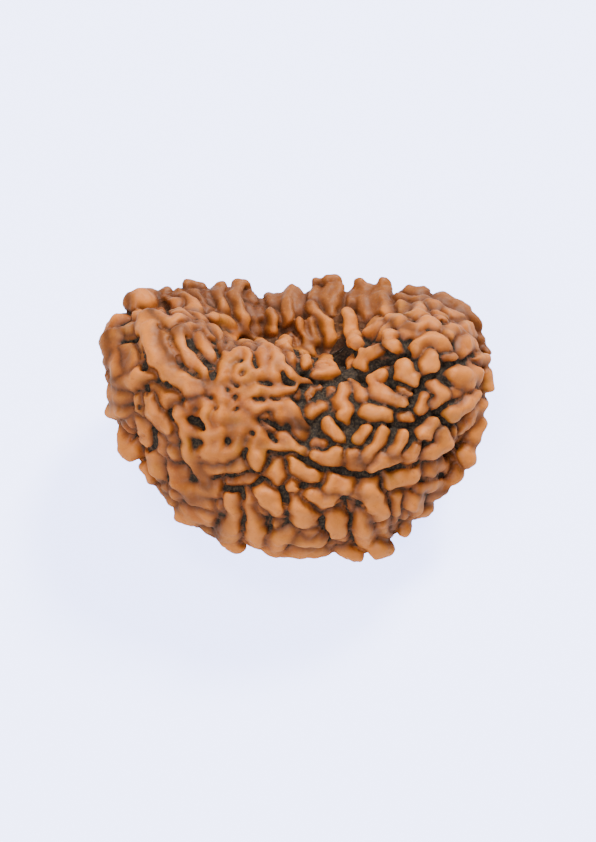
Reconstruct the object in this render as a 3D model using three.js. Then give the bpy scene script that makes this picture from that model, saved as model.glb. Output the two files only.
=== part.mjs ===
// A one-faced rudraksha seed: a half-moon stone with an open valley along its upper edge, covered in
// ridges and lobes. It is one solid that lies on its round back. Millimetres, +Z up.
import { BufferAttribute, BufferGeometry, Group, IcosahedronGeometry, Mesh, MeshStandardMaterial } from 'three';
import { SimplifyModifier } from 'three/addons/modifiers/SimplifyModifier.js';
import { mergeVertices } from 'three/addons/utils/BufferGeometryUtils.js';

// Driving sizes
const SEED_LENGTH = 30.0; // overall, end to end
const DRAWN_LENGTH = 30.0; // length at which the lists below give their places
const LEAN = 65; // degrees that the face looks up from the level, as the seed lies on its back
const REST_LEVEL = -8.55; // height of the surface that it rests on, below the middle of the seed
const EYE = 353; // distance of the eye that the crests are laid out for

// The seed is described as seen from the front: u to the right, v up, w towards the eye. Its middle is 0, 0, 0.
// The smooth body under the ridges: centre and half sizes of the egg shapes that run together in it
const BODY = [
  [[0.6, -3.0, -1.0], [10.8, 6.6, 6.0]], // belly
  [[-8.8, 2.6, -0.6], [4.7, 5.2, 5.0]], // left shoulder
  [[9.3, 2.6, -0.8], [4.7, 5.0, 5.0]], // right shoulder
  [[-3.6, 0.6, 2.4], [6.6, 4.6, 3.2]], // net plate
  [[5.2, -0.9, 2.2], [6.2, 3.0, 3.0]], // right of the face
  [[0.6, 2.6, -5.9], [12.6, 6.1, 3.4]], // wall behind the valley
  [[-8.0, 5.1, -4.2], [4.0, 3.6, 3.0]], // left end of the wall
  [[9.8, 5.4, -4.2], [3.8, 3.4, 3.0]], // right end of the wall
  [[-7.7, 8.0, -4.6], [1.4, 1.2, 1.6]], // first block of teeth on the wall
  [[-5.5, 7.9, -4.8], [1.0, 1.2, 1.5]], // second block
  [[-3.9, 7.7, -5.2], [1.0, 1.3, 1.5]], // third block
  [[-0.5, 7.4, -5.4], [1.5, 1.2, 1.5]], // fourth block
  [[2.6, 8.0, -5.4], [1.3, 1.5, 1.6]], // fifth block, the tallest
  [[6.0, 7.7, -5.2], [1.6, 1.4, 1.6]], // sixth block
  [[9.3, 7.6, -4.6], [1.6, 1.2, 1.7]], // seventh block
  [[-12.6, 5.4, -1.8], [1.2, 1.9, 2.0]], // left tip
];
const BODY_BLEND = 1.6; // how far the egg shapes melt into each other

// Each ridge is [radius, rise above the body, points of its crest]. A third number in a point moves it in w.
const LEFT_END = [
  [0.80, 1.0, [[-13.1, 6.8], [-13.4, 5.7], [-13.2, 4.6]]],
  [0.80, 0.9, [[-12.9, 6.2], [-12.9, 4.6], [-12.6, 3.4]]],
  [0.70, 0.6, [[-12.1, 5.1], [-12.0, 3.7]]],
  [0.45, 0.8, [[-12.6, 6.6], [-11.8, 6.5]]],
  [0.75, 1.2, [[-10.9, 7.1], [-10.4, 5.4], [-9.9, 4.1], [-8.7, 3.1], [-7.5, 2.2]]],
  [0.65, 0.9, [[-9.8, 6.0], [-9.5, 5.0], [-9.2, 4.2], [-8.6, 3.5]]],
  [0.50, 1.0, [[-10.9, 7.4], [-10.0, 7.3], [-9.3, 6.9], [-8.8, 7.2]]],
  [0.52, 1.0, [[-8.5, 6.2], [-8.3, 5.2], [-8.0, 4.4], [-7.2, 3.8], [-6.6, 3.4]]],
  [0.50, 1.0, [[-8.5, 6.2], [-7.8, 6.7], [-6.9, 6.6], [-6.5, 6.0]]],
  [0.60, 0.9, [[-7.2, 6.3], [-6.9, 5.5], [-6.3, 4.6]]],
  [0.42, 0.6, [[-5.9, 6.4], [-5.5, 5.6], [-5.3, 4.9]]],
];
const LEFT_REAR = [
  [0.45, 1.0, [[-12.4, 8.6], [-12.0, 8.0], [-11.5, 7.4]]],
  [0.75, 0.8, [[-11.8, 8.4], [-10.8, 8.8], [-10.0, 8.6]]],
  [0.55, 0.9, [[-9.5, 9.3], [-9.1, 8.7], [-8.5, 8.3]]],
  [0.50, 0.9, [[-8.6, 9.2], [-7.9, 8.7], [-7.5, 8.0]]],
  [0.50, 0.7, [[-7.4, 9.1], [-6.8, 8.5], [-6.4, 8.0]]],
];
const WALL_TEETH = [
  [0.42, 0.6, [[-8.0, 9.8], [-7.2, 9.5]]],
  [0.35, 0.8, [[-5.65, 9.8], [-5.5, 9.0], [-5.3, 8.2]]],
  [0.35, 0.6, [[-6.1, 9.2], [-6.3, 8.4]]],
  [0.35, 0.6, [[-3.2, 8.0], [-3.0, 7.3], [-2.9, 6.6]]],
  [0.28, 0.6, [[-2.5, 8.9], [-2.4, 8.2], [-2.4, 7.7]]],
  [0.28, 1.0, [[-1.55, 8.0], [-1.45, 7.2], [-1.4, 6.5]]],
  [0.40, 1.2, [[1.65, 8.4], [2.0, 7.6], [2.5, 6.9], [2.8, 6.2], [2.9, 5.7]]],
  [0.42, 1.5, [[4.15, 7.8], [4.3, 7.0], [4.6, 6.1], [4.9, 5.6]]],
];
const LEFT_BLOCK = [
  [0.35, 0.9, [[-4.25, 9.85], [-4.2, 9.2], [-4.0, 8.2], [-3.8, 7.2], [-3.7, 6.4]]],
  [0.38, 0.8, [[-3.6, 9.7], [-3.2, 9.3], [-2.8, 8.7]]],
];
const MIDDLE_BLOCK = [
  [0.30, 0.7, [[-1.85, 9.2], [-1.75, 8.6]]],
  [0.24, 0.5, [[-1.1, 9.2], [-0.9, 8.6]]],
  [0.34, 0.9, [[-0.2, 9.5], [-0.3, 8.6], [-0.35, 7.8], [-0.4, 7.2]]],
  [0.34, 0.7, [[0.35, 9.4], [0.6, 8.9], [0.7, 8.3]]],
];
const TALL_BLOCK = [
  [0.34, 0.8, [[1.75, 10.2], [1.7, 9.3], [1.75, 8.7]]],
  [0.36, 0.7, [[2.5, 10.25], [2.45, 9.3], [2.6, 8.6]]],
  [0.34, 0.8, [[3.2, 10.2], [3.5, 9.3], [3.2, 8.4], [2.95, 7.8]]],
];
const RIGHT_BLOCK = [
  [0.33, 0.8, [[5.0, 10.1], [4.75, 9.3], [4.6, 8.7]]],
  [0.42, 0.8, [[5.5, 9.6], [5.5, 8.8], [5.6, 8.0], [5.6, 7.5]]],
  [0.36, 0.7, [[6.2, 9.3], [6.3, 8.5], [6.5, 7.7]]],
  [0.40, 0.9, [[6.8, 9.85], [7.0, 9.1], [7.15, 8.4], [7.1, 7.7]]],
];
const RIGHT_TOP = [
  [0.42, 0.7, [[8.8, 9.5], [9.7, 9.4], [10.2, 9.1]]],
  [0.38, 0.6, [[8.3, 8.9], [9.3, 8.8], [10.1, 8.7]]],
  [0.40, 0.7, [[8.2, 8.2], [8.8, 8.0]]],
  [0.42, 0.8, [[9.4, 8.2], [9.5, 7.6]]],
  [0.38, 0.7, [[10.3, 8.3], [10.9, 8.0]]],
  [0.45, 0.7, [[10.9, 8.9], [11.7, 8.8], [12.4, 8.4], [13.0, 7.9], [13.5, 7.2], [13.8, 6.7]]],
  [0.40, 0.8, [[11.6, 7.6], [12.4, 7.5], [13.0, 7.3]]],
  [0.40, 0.8, [[7.4, 7.2], [8.1, 7.0], [8.6, 6.7]]],
  [0.38, 0.9, [[8.9, 6.9], [9.4, 6.7], [10.1, 7.1], [10.9, 6.7]]],
  [0.50, 0.8, [[6.1, 6.9], [6.6, 6.5], [6.0, 6.2]]],
  [0.40, 0.7, [[8.4, 6.2], [9.1, 6.1]]],
  [0.30, 0.6, [[11.4, 7.0], [12.1, 6.9]]],
];
const NEAR_RIM = [
  [0.36, 1.0, [[-0.1, 6.1], [-0.5, 5.7], [-0.7, 5.2]]],
  [0.30, 1.0, [[0.0, 6.1], [0.4, 5.4], [0.8, 4.4], [1.1, 4.0]]],
  [0.32, 1.2, [[0.45, 7.2], [0.8, 6.4], [1.1, 5.5], [1.2, 4.8]]],
  [0.33, 1.1, [[1.2, 7.3], [1.45, 6.6], [1.7, 5.7]]],
  [0.45, 1.0, [[2.3, 4.2], [2.0, 3.2], [3.1, 3.2], [2.3, 4.2]]],
  [0.35, 0.6, [[2.2, 5.2], [2.8, 4.9]]],
  [0.33, 0.6, [[3.5, 5.2], [4.2, 5.1]]],
  [0.50, 1.2, [[5.2, 4.1], [5.4, 4.8], [6.0, 5.0], [6.8, 5.2]]],
  [0.50, 1.3, [[7.3, 6.1], [7.0, 5.4], [7.6, 5.3]]],
  [0.40, 0.8, [[4.6, 4.3], [4.6, 3.5]]],
  [0.60, 1.0, [[11.6, 6.0], [12.6, 6.5], [13.4, 6.3], [13.9, 5.6]]],
  [0.75, 1.0, [[12.3, 5.5], [13.1, 5.4]]],
  [0.25, 0.6, [[14.2, 5.3], [14.7, 4.9]]],
  [0.70, 1.1, [[9.7, 5.2], [10.5, 5.5], [11.2, 5.2]]],
  [0.65, 1.1, [[10.3, 4.6], [10.4, 3.8]]],
  [0.45, 0.8, [[11.4, 4.6], [11.9, 4.6]]],
  [0.65, 1.1, [[8.6, 3.7], [8.5, 3.1], [9.1, 2.9]]],
];
const RIGHT_END = [
  [0.50, 0.8, [[13.6, 4.3], [14.2, 4.2]]],
  [0.75, 1.0, [[12.3, 3.2], [13.0, 2.9], [13.6, 3.1]]],
  [0.50, 0.8, [[14.4, 3.3], [14.5, 2.5]]],
  [0.50, 1.0, [[13.6, 1.7], [12.8, 1.0], [11.8, 0.2]]],
  [0.60, 0.9, [[13.9, 0.9], [13.2, 0.1], [12.4, -0.5]]],
  [0.60, 0.8, [[13.8, -0.3], [13.4, -1.3]]],
  [0.60, 1.0, [[10.7, 2.1], [11.2, 1.4], [10.5, 0.8]]],
  [0.50, 1.0, [[10.0, 1.3], [9.8, 0.8], [10.1, 0.6]]],
  [0.33, 0.6, [[8.4, 0.0], [9.1, 0.05]]],
  [0.45, 1.0, [[6.9, 2.9], [6.2, 2.9], [6.3, 1.9], [7.6, 1.4], [8.4, 1.2]]],
  [0.40, 0.9, [[8.1, 1.9], [8.8, 1.8]]],
  [0.52, 1.0, [[5.7, 0.6], [6.2, 0.3], [7.2, 0.1]]],
  [0.38, 0.9, [[4.4, 2.6], [4.9, 2.2], [5.2, 1.6]]],
  [0.42, 0.9, [[4.2, 2.3], [3.7, 1.5], [3.7, 1.1], [4.2, 0.5], [4.0, 0.1]]],
  [0.35, 0.8, [[2.1, 2.3], [1.4, 2.1], [1.2, 1.3]]],
  [0.42, 0.8, [[1.3, 1.1], [1.6, 0.5], [2.0, 0.9]]],
  [0.25, 0.5, [[2.5, 2.1], [3.0, 1.9]]],
  [0.25, 0.5, [[0.5, 2.5], [0.3, 1.8]]],
  [0.45, 0.9, [[2.7, -0.4], [3.2, -1.2], [3.5, -1.6]]],
  [0.42, 0.9, [[5.6, -0.8], [5.2, -1.3], [4.9, -1.7]]],
  [0.42, 0.9, [[6.8, -1.0], [6.3, -1.9], [5.8, -2.6], [5.1, -3.1]]],
  [0.50, 1.0, [[4.8, -2.7], [4.9, -3.3]]],
  [0.38, 0.9, [[8.4, -1.2], [8.1, -1.8], [7.8, -2.6]]],
  [0.38, 1.0, [[7.8, -3.1], [6.9, -3.3], [6.2, -3.6]]],
  [0.45, 0.9, [[9.4, -1.9], [9.2, -2.6], [8.6, -3.1]]],
  [0.60, 1.1, [[10.7, -0.6], [10.2, -1.3], [9.8, -1.3]]],
  [0.60, 1.1, [[10.9, -1.2], [11.2, -2.0], [10.5, -2.4]]],
  [0.35, 0.7, [[1.7, -1.9], [2.3, -1.8]]],
  [0.45, 1.0, [[1.8, -2.7], [2.5, -2.9], [3.2, -3.1], [3.4, -2.6]]],
  [0.50, 0.8, [[0.4, -0.5], [0.6, -1.0]]],
];
const NET_PLATE = [
  [0.30, 0.8, [[-6.4, 7.5], [-5.9, 7.7], [-5.2, 7.2], [-4.7, 6.7], [-4.2, 6.3], [-3.4, 5.9],
    [-2.5, 5.6]]],
  [0.30, 0.8, [[-2.5, 5.6], [-1.6, 5.2], [-1.1, 4.7], [-0.8, 3.8], [0.0, 3.1], [0.8, 2.7], [1.7, 2.4]]],
  [0.28, 0.7, [[-5.0, 5.2], [-4.6, 5.8], [-4.2, 6.2]]],
  [0.25, 0.7, [[-4.8, 3.6], [-4.7, 4.3], [-4.3, 4.8], [-3.6, 5.0], [-3.3, 4.6], [-3.4, 4.0],
    [-4.0, 3.7]]],
  [0.25, 0.7, [[-3.4, 4.0], [-3.1, 3.4], [-3.3, 2.8], [-3.9, 2.7], [-4.3, 3.1], [-4.0, 3.7]]],
  [0.30, 0.7, [[-2.5, 5.5], [-2.2, 4.8], [-2.1, 4.0], [-2.4, 3.4]]],
  [0.32, 0.8, [[-1.2, 4.9], [-1.4, 4.2], [-1.6, 3.5], [-1.3, 3.1]]],
  [0.22, 0.6, [[-4.9, 2.9], [-4.6, 2.3], [-4.4, 1.9], [-3.8, 2.0]]],
  [0.22, 0.6, [[-3.3, 2.8], [-2.7, 3.1], [-2.0, 3.1], [-1.3, 3.1], [-0.9, 2.7], [-1.2, 2.2]]],
  [0.25, 0.7, [[-3.7, 1.4], [-3.1, 1.95], [-2.5, 2.4], [-1.9, 2.1], [-1.2, 2.0], [-0.5, 2.1],
    [0.1, 2.0]]],
  [0.35, 0.7, [[-3.4, 1.0], [-2.4, 0.85], [-1.9, 0.9], [-0.5, 0.9], [0.2, 0.6], [0.5, 0.1],
    [0.7, -0.6]]],
  [0.28, 0.7, [[-5.3, 1.4], [-4.6, 1.1], [-4.4, 0.9]]],
  [0.22, 0.8, [[0.6, 2.7], [0.2, 2.2]]],
  [0.55, 0.7, [[-5.0, 0.0], [-4.2, -0.2], [-3.4, -0.3]]],
  [0.45, 0.6, [[-4.6, -0.8], [-3.8, -0.9]]],
  [0.30, 0.7, [[-2.4, -0.9], [-2.1, -1.6], [-1.7, -2.1], [-0.6, -2.1], [0.5, -2.3], [1.1, -2.5]]],
  [0.30, 0.7, [[-0.7, -1.5], [0.0, -1.9]]],
  [0.38, 0.7, [[-1.0, 0.2], [-0.2, 0.0], [0.5, -0.6]]],
  [0.30, 0.6, [[-2.8, -1.6], [-3.0, -2.1]]],
  [0.30, 0.6, [[-4.2, -1.7], [-4.4, -2.4], [-5.0, -3.0]]],
  [0.33, 0.6, [[-5.5, -1.3], [-5.6, -2.2], [-5.9, -3.0]]],
  [0.50, 0.9, [[-2.5, -2.9], [-2.6, -3.1]]],
  [0.33, 0.8, [[-8.7, 0.9], [-8.4, -0.3], [-8.2, -1.2], [-7.9, -2.2], [-7.5, -3.2], [-6.9, -4.2],
    [-6.2, -5.0]]],
  [0.30, 0.8, [[-7.9, 1.1], [-7.2, 1.3], [-6.4, 0.95], [-6.5, -0.1], [-6.2, -1.1]]],
  [0.30, 0.7, [[-8.1, -0.6], [-7.2, -1.1], [-6.2, -1.1], [-5.5, -0.9]]],
  [0.35, 0.7, [[-6.4, -1.1], [-6.2, -2.0], [-6.5, -2.8], [-7.5, -3.2]]],
  [0.28, 0.6, [[-5.6, 1.9], [-6.4, 2.3], [-7.3, 2.3]]],
  [0.30, 0.6, [[-5.4, 0.6], [-5.6, -0.3], [-6.2, -1.1]]],
  [0.30, 0.6, [[-5.3, 3.3], [-5.0, 4.2], [-5.2, 5.0]]],
  [0.28, 0.6, [[-4.9, 2.9], [-5.6, 2.7], [-6.3, 2.6]]],
];
const LEFT_MIDDLE = [
  [0.50, 0.8, [[-12.9, 2.8], [-12.0, 2.6], [-11.2, 2.9], [-10.3, 3.0]]],
  [0.50, 0.8, [[-10.2, 2.2], [-9.6, 1.6], [-9.0, 1.9], [-8.7, 1.4]]],
  [0.40, 0.9, [[-10.6, 1.5], [-10.4, 0.6], [-9.9, -0.2], [-9.3, -0.7]]],
  [0.50, 0.6, [[-9.7, -1.5], [-9.6, -1.7]]],
  [0.35, 0.6, [[-8.8, -2.2], [-8.6, -2.9]]],
  [0.65, 0.9, [[-13.2, 1.8], [-12.6, 1.7]]],
  [0.62, 0.9, [[-13.2, 0.8], [-12.6, 0.9]]],
  [0.85, 1.0, [[-12.1, -0.8], [-12.2, -1.5], [-11.9, -2.2]]],
  [0.50, 0.9, [[-11.2, -0.6], [-11.0, -1.5]]],
  [0.75, 1.1, [[-9.9, -2.9], [-9.8, -3.8]]],
  [0.55, 0.7, [[-11.0, -3.7], [-10.5, -4.4]]],
  [0.55, 0.7, [[-9.7, -4.9], [-9.5, -5.2]]],
  [0.80, 0.8, [[-8.3, -3.6], [-8.3, -4.6], [-7.6, -5.4], [-6.6, -5.2], [-5.7, -4.9]]],
  [0.50, 0.8, [[-8.6, -5.6], [-7.4, -6.0], [-6.3, -6.1]]],
  [0.50, 0.7, [[-6.8, -4.2], [-6.0, -3.8], [-4.8, -4.0], [-3.8, -3.8]]],
  [0.42, 0.7, [[-4.6, -4.7], [-3.4, -4.6]]],
];
const BELLY = [
  [0.78, 0.9, [[-8.1, -7.1], [-7.3, -7.0], [-6.4, -7.0]]],
  [0.75, 1.1, [[-4.2, -6.2], [-4.6, -7.2], [-4.6, -8.3], [-4.4, -9.3]]],
  [0.40, 0.8, [[-5.3, -6.6], [-5.0, -7.5], [-5.1, -8.6]]],
  [0.65, 1.0, [[-3.1, -6.2], [-3.1, -7.2], [-2.8, -8.2], [-2.6, -8.9]]],
  [0.75, 1.2, [[-1.9, -5.6], [-1.5, -6.3], [-1.2, -6.5]]],
  [0.45, 0.9, [[-2.3, -6.7], [-2.2, -6.8]]],
  [0.80, 1.0, [[-0.7, -8.6], [-1.4, -9.3], [-0.4, -9.6], [1.0, -9.3], [2.0, -9.4]]],
  [0.80, 0.9, [[0.5, -8.8], [1.6, -8.8]]],
  [0.75, 1.2, [[0.6, -6.7], [0.9, -7.3]]],
  [0.75, 1.0, [[3.2, -7.5], [3.3, -8.1]]],
  [0.60, 0.9, [[3.7, -9.7], [4.7, -10.1]]],
  [0.85, 1.0, [[5.1, -7.2], [5.4, -8.4], [6.2, -9.3], [6.5, -9.6]]],
  [0.70, 0.9, [[6.6, -7.6], [6.9, -8.6]]],
  [0.80, 1.2, [[5.6, -5.3], [6.1, -6.2], [6.2, -6.9]]],
  [0.50, 0.9, [[4.9, -5.6], [4.8, -5.7]]],
  [0.55, 1.1, [[7.4, -4.9], [8.1, -4.5], [8.8, -4.1]]],
  [0.60, 1.0, [[3.0, -4.9], [4.0, -5.0]]],
  [0.55, 1.0, [[1.5, -5.6], [2.4, -6.1], [3.0, -6.1]]],
  [0.60, 1.0, [[0.3, -3.7], [0.9, -4.1], [1.5, -4.2]]],
  [0.40, 0.9, [[-0.1, -5.0], [0.4, -5.0]]],
  [0.65, 1.0, [[-1.1, -3.9], [-1.1, -4.3]]],
  [0.65, 0.9, [[9.9, -3.7], [11.2, -3.6], [11.9, -2.8]]],
  [0.55, 0.9, [[9.7, -4.9], [11.0, -4.9], [12.0, -4.2], [12.4, -3.4]]],
  [0.50, 0.8, [[12.2, -2.5], [12.3, -1.8]]],
  [0.60, 0.9, [[13.0, -2.2], [13.1, -2.9]]],
  [0.75, 1.0, [[8.8, -6.1], [9.0, -6.5]]],
  [0.50, 0.8, [[8.3, -7.0], [8.2, -7.2]]],
  [0.50, 0.8, [[9.9, -6.6], [9.6, -7.0]]],
  [0.50, 0.7, [[10.4, -5.6], [11.0, -5.4]]],
  [0.35, 0.8, [[7.6, -5.9], [7.7, -7.2], [7.5, -8.4]]],
  [0.50, 0.8, [[8.3, -8.0], [8.2, -8.4]]],
];
const RIDGES = [
  ...LEFT_END, ...LEFT_REAR, ...WALL_TEETH, ...RIGHT_TOP, ...NEAR_RIM,
  ...RIGHT_END, ...LEFT_MIDDLE, ...BELLY,
];
// Ridges that run together with no groove between them
const WEBS = [LEFT_BLOCK, MIDDLE_BLOCK, TALL_BLOCK, RIGHT_BLOCK, NET_PLATE];

// Each groove or pit is [radius, height of its centre above the body, points]
const FACE_LINES = [
  [0.16, 0.35, [[14.3, 4.8], [13.3, 4.6], [12.4, 4.4], [11.5, 3.6], [11.0, 3.1], [10.2, 2.8],
    [9.6, 2.3], [9.2, 1.7], [8.8, 1.0], [8.2, 0.5]]],
  [0.15, 0.35, [[12.6, 1.6], [11.9, 1.1], [11.2, 0.6], [10.4, 0.1], [9.7, -0.3], [8.8, -0.7],
    [7.9, -0.6], [6.5, -0.6]]],
  [0.26, 0.3, [[-1.6, -2.5], [0.5, -2.8], [2.0, -3.6], [3.3, -4.0], [5.0, -4.2], [6.5, -4.1],
    [8.0, -3.8], [9.4, -3.3]]],
];
const PITS = [
  [0.17, 0.45, [[-3.86, 4.2]]],
  [0.18, 0.45, [[-3.0, 4.8], [-2.6, 4.0]]],
  [0.18, 0.45, [[-3.7, 3.3]]],
  [0.17, 0.4, [[-4.1, 2.4]]],
  [0.15, 0.4, [[-2.3, 2.75], [-1.7, 2.65]]],
  [0.24, 0.35, [[-0.7, 3.4], [-0.1, 2.6]]],
  [0.22, 0.35, [[-2.85, 1.55], [-2.1, 1.45]]],
  [0.12, 0.45, [[-1.5, 1.5], [-1.0, 1.5]]],
  [0.2, 0.45, [[0.2, 1.4], [0.5, 1.2]]],
  [0.16, 0.45, [[-5.75, 0.8]]],
  [0.2, 0.45, [[-4.2, 0.6]]],
  [0.22, 0.4, [[-6.8, -0.2], [-6.7, -0.7]]],
  [0.25, 0.35, [[-2.3, 0.0], [-1.5, -0.4], [-0.7, -0.8]]],
  [0.16, 0.45, [[-1.6, -1.3], [-1.3, -1.65]]],
  [0.13, 0.45, [[0.15, -1.5]]],
  [0.17, 0.45, [[-3.0, -1.15]]],
  [0.2, 0.4, [[-3.4, -2.5], [-3.6, -3.0]]],
  [0.12, 0.5, [[-6.9, -3.1]]],
  [0.2, 0.4, [[-5.8, 5.3], [-5.6, 4.7]]],
  [0.12, 0.5, [[-3.9, 5.6], [-2.9, 5.7]]],
  [0.25, 0.4, [[-9.2, 0.5], [-8.95, 0.0]]],
  [0.3, 0.35, [[-7.5, -0.1], [-7.0, -0.45]]],
  [0.14, 0.5, [[-7.0, -2.0]]],
  [0.18, 0.45, [[-8.3, 1.4]]],
  [0.2, 0.4, [[-4.9, -1.7]]],
  [0.15, 0.4, [[-4.9, 2.1]]],
  [0.15, 0.4, [[-6.1, 1.7]]],
  [0.16, 0.4, [[-4.3, 1.5]]],
  [0.15, 0.4, [[-5.9, 3.4]]],
  [0.15, 0.4, [[-1.8, 4.3]]],
  [0.28, 0.3, [[-9.2, 2.7]]],
  [0.25, 0.3, [[-10.9, 2.2]]],
  [0.2, 0.3, [[-10.8, 1.6]]],
  [0.25, 0.3, [[-11.4, 0.7]]],
  [0.15, 0.3, [[-7.7, -3.9]]],
  [0.2, 0.45, [[-10.1, 6.7], [-9.2, 6.5]]],
  [0.25, 0.4, [[-12.7, 5.7], [-11.6, 6.0]]],
  [0.25, 0.35, [[-11.1, 5.1], [-11.1, 3.6]]],
  [0.2, 0.35, [[-9.66, 9.0], [-9.4, 7.6]]],
  [0.2, 0.4, [[-9.1, 5.9], [-8.9, 5.4], [-8.7, 4.5], [-8.3, 3.8], [-7.5, 3.3], [-6.9, 3.0]]],
  [0.24, 0.35, [[-7.9, 5.7], [-7.5, 4.9], [-6.9, 4.3], [-6.3, 3.9], [-5.9, 3.2]]],
  [0.2, 0.45, [[-12.4, 7.0]]],
  [0.15, 0.45, [[-12.0, -1.7], [-11.2, -1.1]]],
  [0.25, 0.3, [[-10.5, -0.9], [-10.3, -1.9], [-10.6, -2.3]]],
  [0.28, 0.3, [[-9.4, -4.5]]],
  [0.16, 0.35, [[-6.0, -4.4], [-5.0, -4.35], [-4.6, -4.6], [-4.0, -4.4], [-3.3, -4.1], [-2.6, -4.1]]],
  [0.28, 0.3, [[1.0, 3.2]]],
  [0.28, 0.3, [[3.5, 4.1]]],
  [0.28, 0.3, [[6.3, 4.0], [7.9, 4.4], [8.6, 4.9]]],
  [0.2, 0.45, [[7.65, 6.6]]],
  [0.28, 0.35, [[8.8, 5.7]]],
  [0.2, 0.4, [[11.2, 7.2], [11.6, 6.8]]],
  [0.15, 0.4, [[10.3, 7.85]]],
  [0.15, 0.45, [[10.6, 1.55]]],
  [0.15, 0.4, [[12.6, -1.85], [13.1, -2.1]]],
  [0.2, 0.35, [[9.4, -4.5], [10.4, -4.6], [11.3, -4.4]]],
  [0.25, 0.3, [[-0.6, -5.3], [-0.4, -6.6], [-0.5, -7.2]]],
  [0.25, 0.3, [[-4.9, -5.4], [-3.7, -5.6], [-3.5, -6.1]]],
  [0.15, 0.4, [[-3.75, -6.9], [-3.7, -8.5]]],
  [0.15, 0.4, [[-1.7, -7.6], [-1.75, -8.5]]],
  [0.2, 0.35, [[-2.4, -4.6], [-2.9, -5.2]]],
  [0.2, 0.35, [[2.0, -7.5], [2.3, -8.4], [3.0, -9.1], [3.0, -9.5]]],
  [0.15, 0.4, [[4.1, -6.3], [4.2, -7.5], [4.3, -8.6], [5.0, -9.7], [5.7, -10.3]]],
  [0.18, 0.35, [[3.3, -6.3], [4.2, -5.95], [4.9, -6.2], [5.5, -6.6]]],
  [0.2, 0.35, [[0.4, -5.0], [1.9, -4.9]]],
];
const CUTS = [...FACE_LINES, ...PITS];

const RIDGE_SPREAD = 1.35; // ridges bulge this much wider than their crests
const RIDGE_SWELL = 0.04;
const GROOVE_DEPTH = 0.3; // depth of the groove between two ridges
const GROOVE_WIDTH = 0.42; // how far a ridge rounds off beside a groove
const FOOT_HEIGHT = 0.5; // how high the foot of a ridge stands above the body
const FOOT_WIDTH = 0.7; // how far the foot rounds off beside a groove
const FOOT_REACH = 0.9; // how far the foot spreads from a ridge
const FOOT_BLEND = 0.35; // softness where a ridge meets its foot
const WEB_FOOT = 0.7; // share of that foot that a web has
const WEB_BLEND = 0.3; // softness where the ridges of a web run together
const CUT_BLEND = 0.1; // softness of the lip of a groove or pit
const CUT_DRAW = 2.6; // cuts are this many times deeper than wide
const DRAPE_STEP = 0.7; // longest step of a crest along the body
const WOBBLES = [[0.08, 2.1], [0.05, 4.7]]; // how far a ridge strays from its plain line, and the rate

// Lobes on an even spiral, drawn out towards the valley: count, radius, length, rise
const BACK_LOBES = [330, [0.85, 1.15], [0.5, 1.7], 0.85];
const GAP_LOBES = [1300, [0.4, 0.6], [0.2, 0.8], 0.55];
const BACK_LIMIT = -0.12; // the back is where the body faces away from the eye by more than this
const GAP_ROOM = 0.3; // a small lobe goes wherever the listed ridges leave at least this much room
const SPIRAL_CENTRE = [0, -1, -1.5];

// The skin of triangles starts as a coarse ball round the body
const BALL_DETAIL = 2; // 180 triangles
const START_BALL = [17, 13, 10];
const START_CENTRE = [0, 0, -0.6];
const LOOSE_FIT = 2.2; // the coarse skins stay this far outside the smooth body
const LOOSE_ROUNDS = 24;
const LOOSE_EDGES = [9, 2, 1.1, 0.55]; // edges longer than this are split before each of the coarse skins
// The finer skins: edges longer than this are split, how far the skin stays outside the ridges, its rounds
const STAGES = [[0.8, 0.9, 8], [0.75, 0.4, 8], [0.7, 0, 12], [0.7, 0, 12], [0.45, 0, 10]];
const LAST_ROUNDS = 4; // rounds that only draw the points onto the surface
const STEP = 0.22; // longest move in a round
const SPREAD = 0.45; // how strongly a round evens out the triangles
const FRONT_SIZE = 0.6; // triangles towards the eye are this much smaller than those on the back
const NUDGE = 0.02;
const CELL = 1.5; // the ridges are looked up in boxes of this size
const REACH = 0.9; // how far round a ridge it is looked up
const FLAT = 0.04; // points this near the resting surface lie on it

const KEPT_POINTS = 5950; // a little under 12,000 triangles
const SKIN = 0xb9773f;

function length(a) {
  return Math.sqrt(a[0] * a[0] + a[1] * a[1] + a[2] * a[2]);
}

function unit(a) {
  const size = length(a) || 1;
  return [a[0] / size, a[1] / size, a[2] / size];
}

function dot(a, b) {
  return a[0] * b[0] + a[1] * b[1] + a[2] * b[2];
}

function softMin(a, b, blend) {
  const h = Math.max(blend - Math.abs(a - b), 0) / blend;
  return Math.min(a, b) - h * h * blend * 0.25;
}

function eggDistance(p, centre, half) {
  let near = 0;
  let slope = 0;
  for (let i = 0; i < 3; i += 1) {
    const q = (p[i] - centre[i]) / half[i];
    near += q * q;
    slope += (q / half[i]) * (q / half[i]);
  }
  near = Math.sqrt(near);
  return (near * (near - 1)) / (Math.sqrt(slope) + 1e-9);
}

function bodyDistance(p) {
  let distance = eggDistance(p, ...BODY[0]);
  for (let i = 1; i < BODY.length; i += 1) {
    distance = softMin(distance, eggDistance(p, ...BODY[i]), BODY_BLEND);
  }
  return distance;
}

function gradient(field, p, here) {
  return [
    (field([p[0] + NUDGE, p[1], p[2]]) - here) / NUDGE,
    (field([p[0], p[1] + NUDGE, p[2]]) - here) / NUDGE,
    (field([p[0], p[1], p[2] + NUDGE]) - here) / NUDGE,
  ];
}

// Where the line of sight through u, v first comes to the given height above the body
function drop(u, v, height) {
  let best = [u, v, 0];
  let least = Infinity;
  for (let w = 8; w > -9; w -= 0.04) {
    const shrink = 1 - w / EYE;
    const spot = [u * shrink, v * shrink, w];
    const distance = bodyDistance(spot);
    if (distance < height) {
      return spot;
    }
    if (distance < least) {
      least = distance;
      best = spot;
    }
  }
  return best;
}

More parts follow.
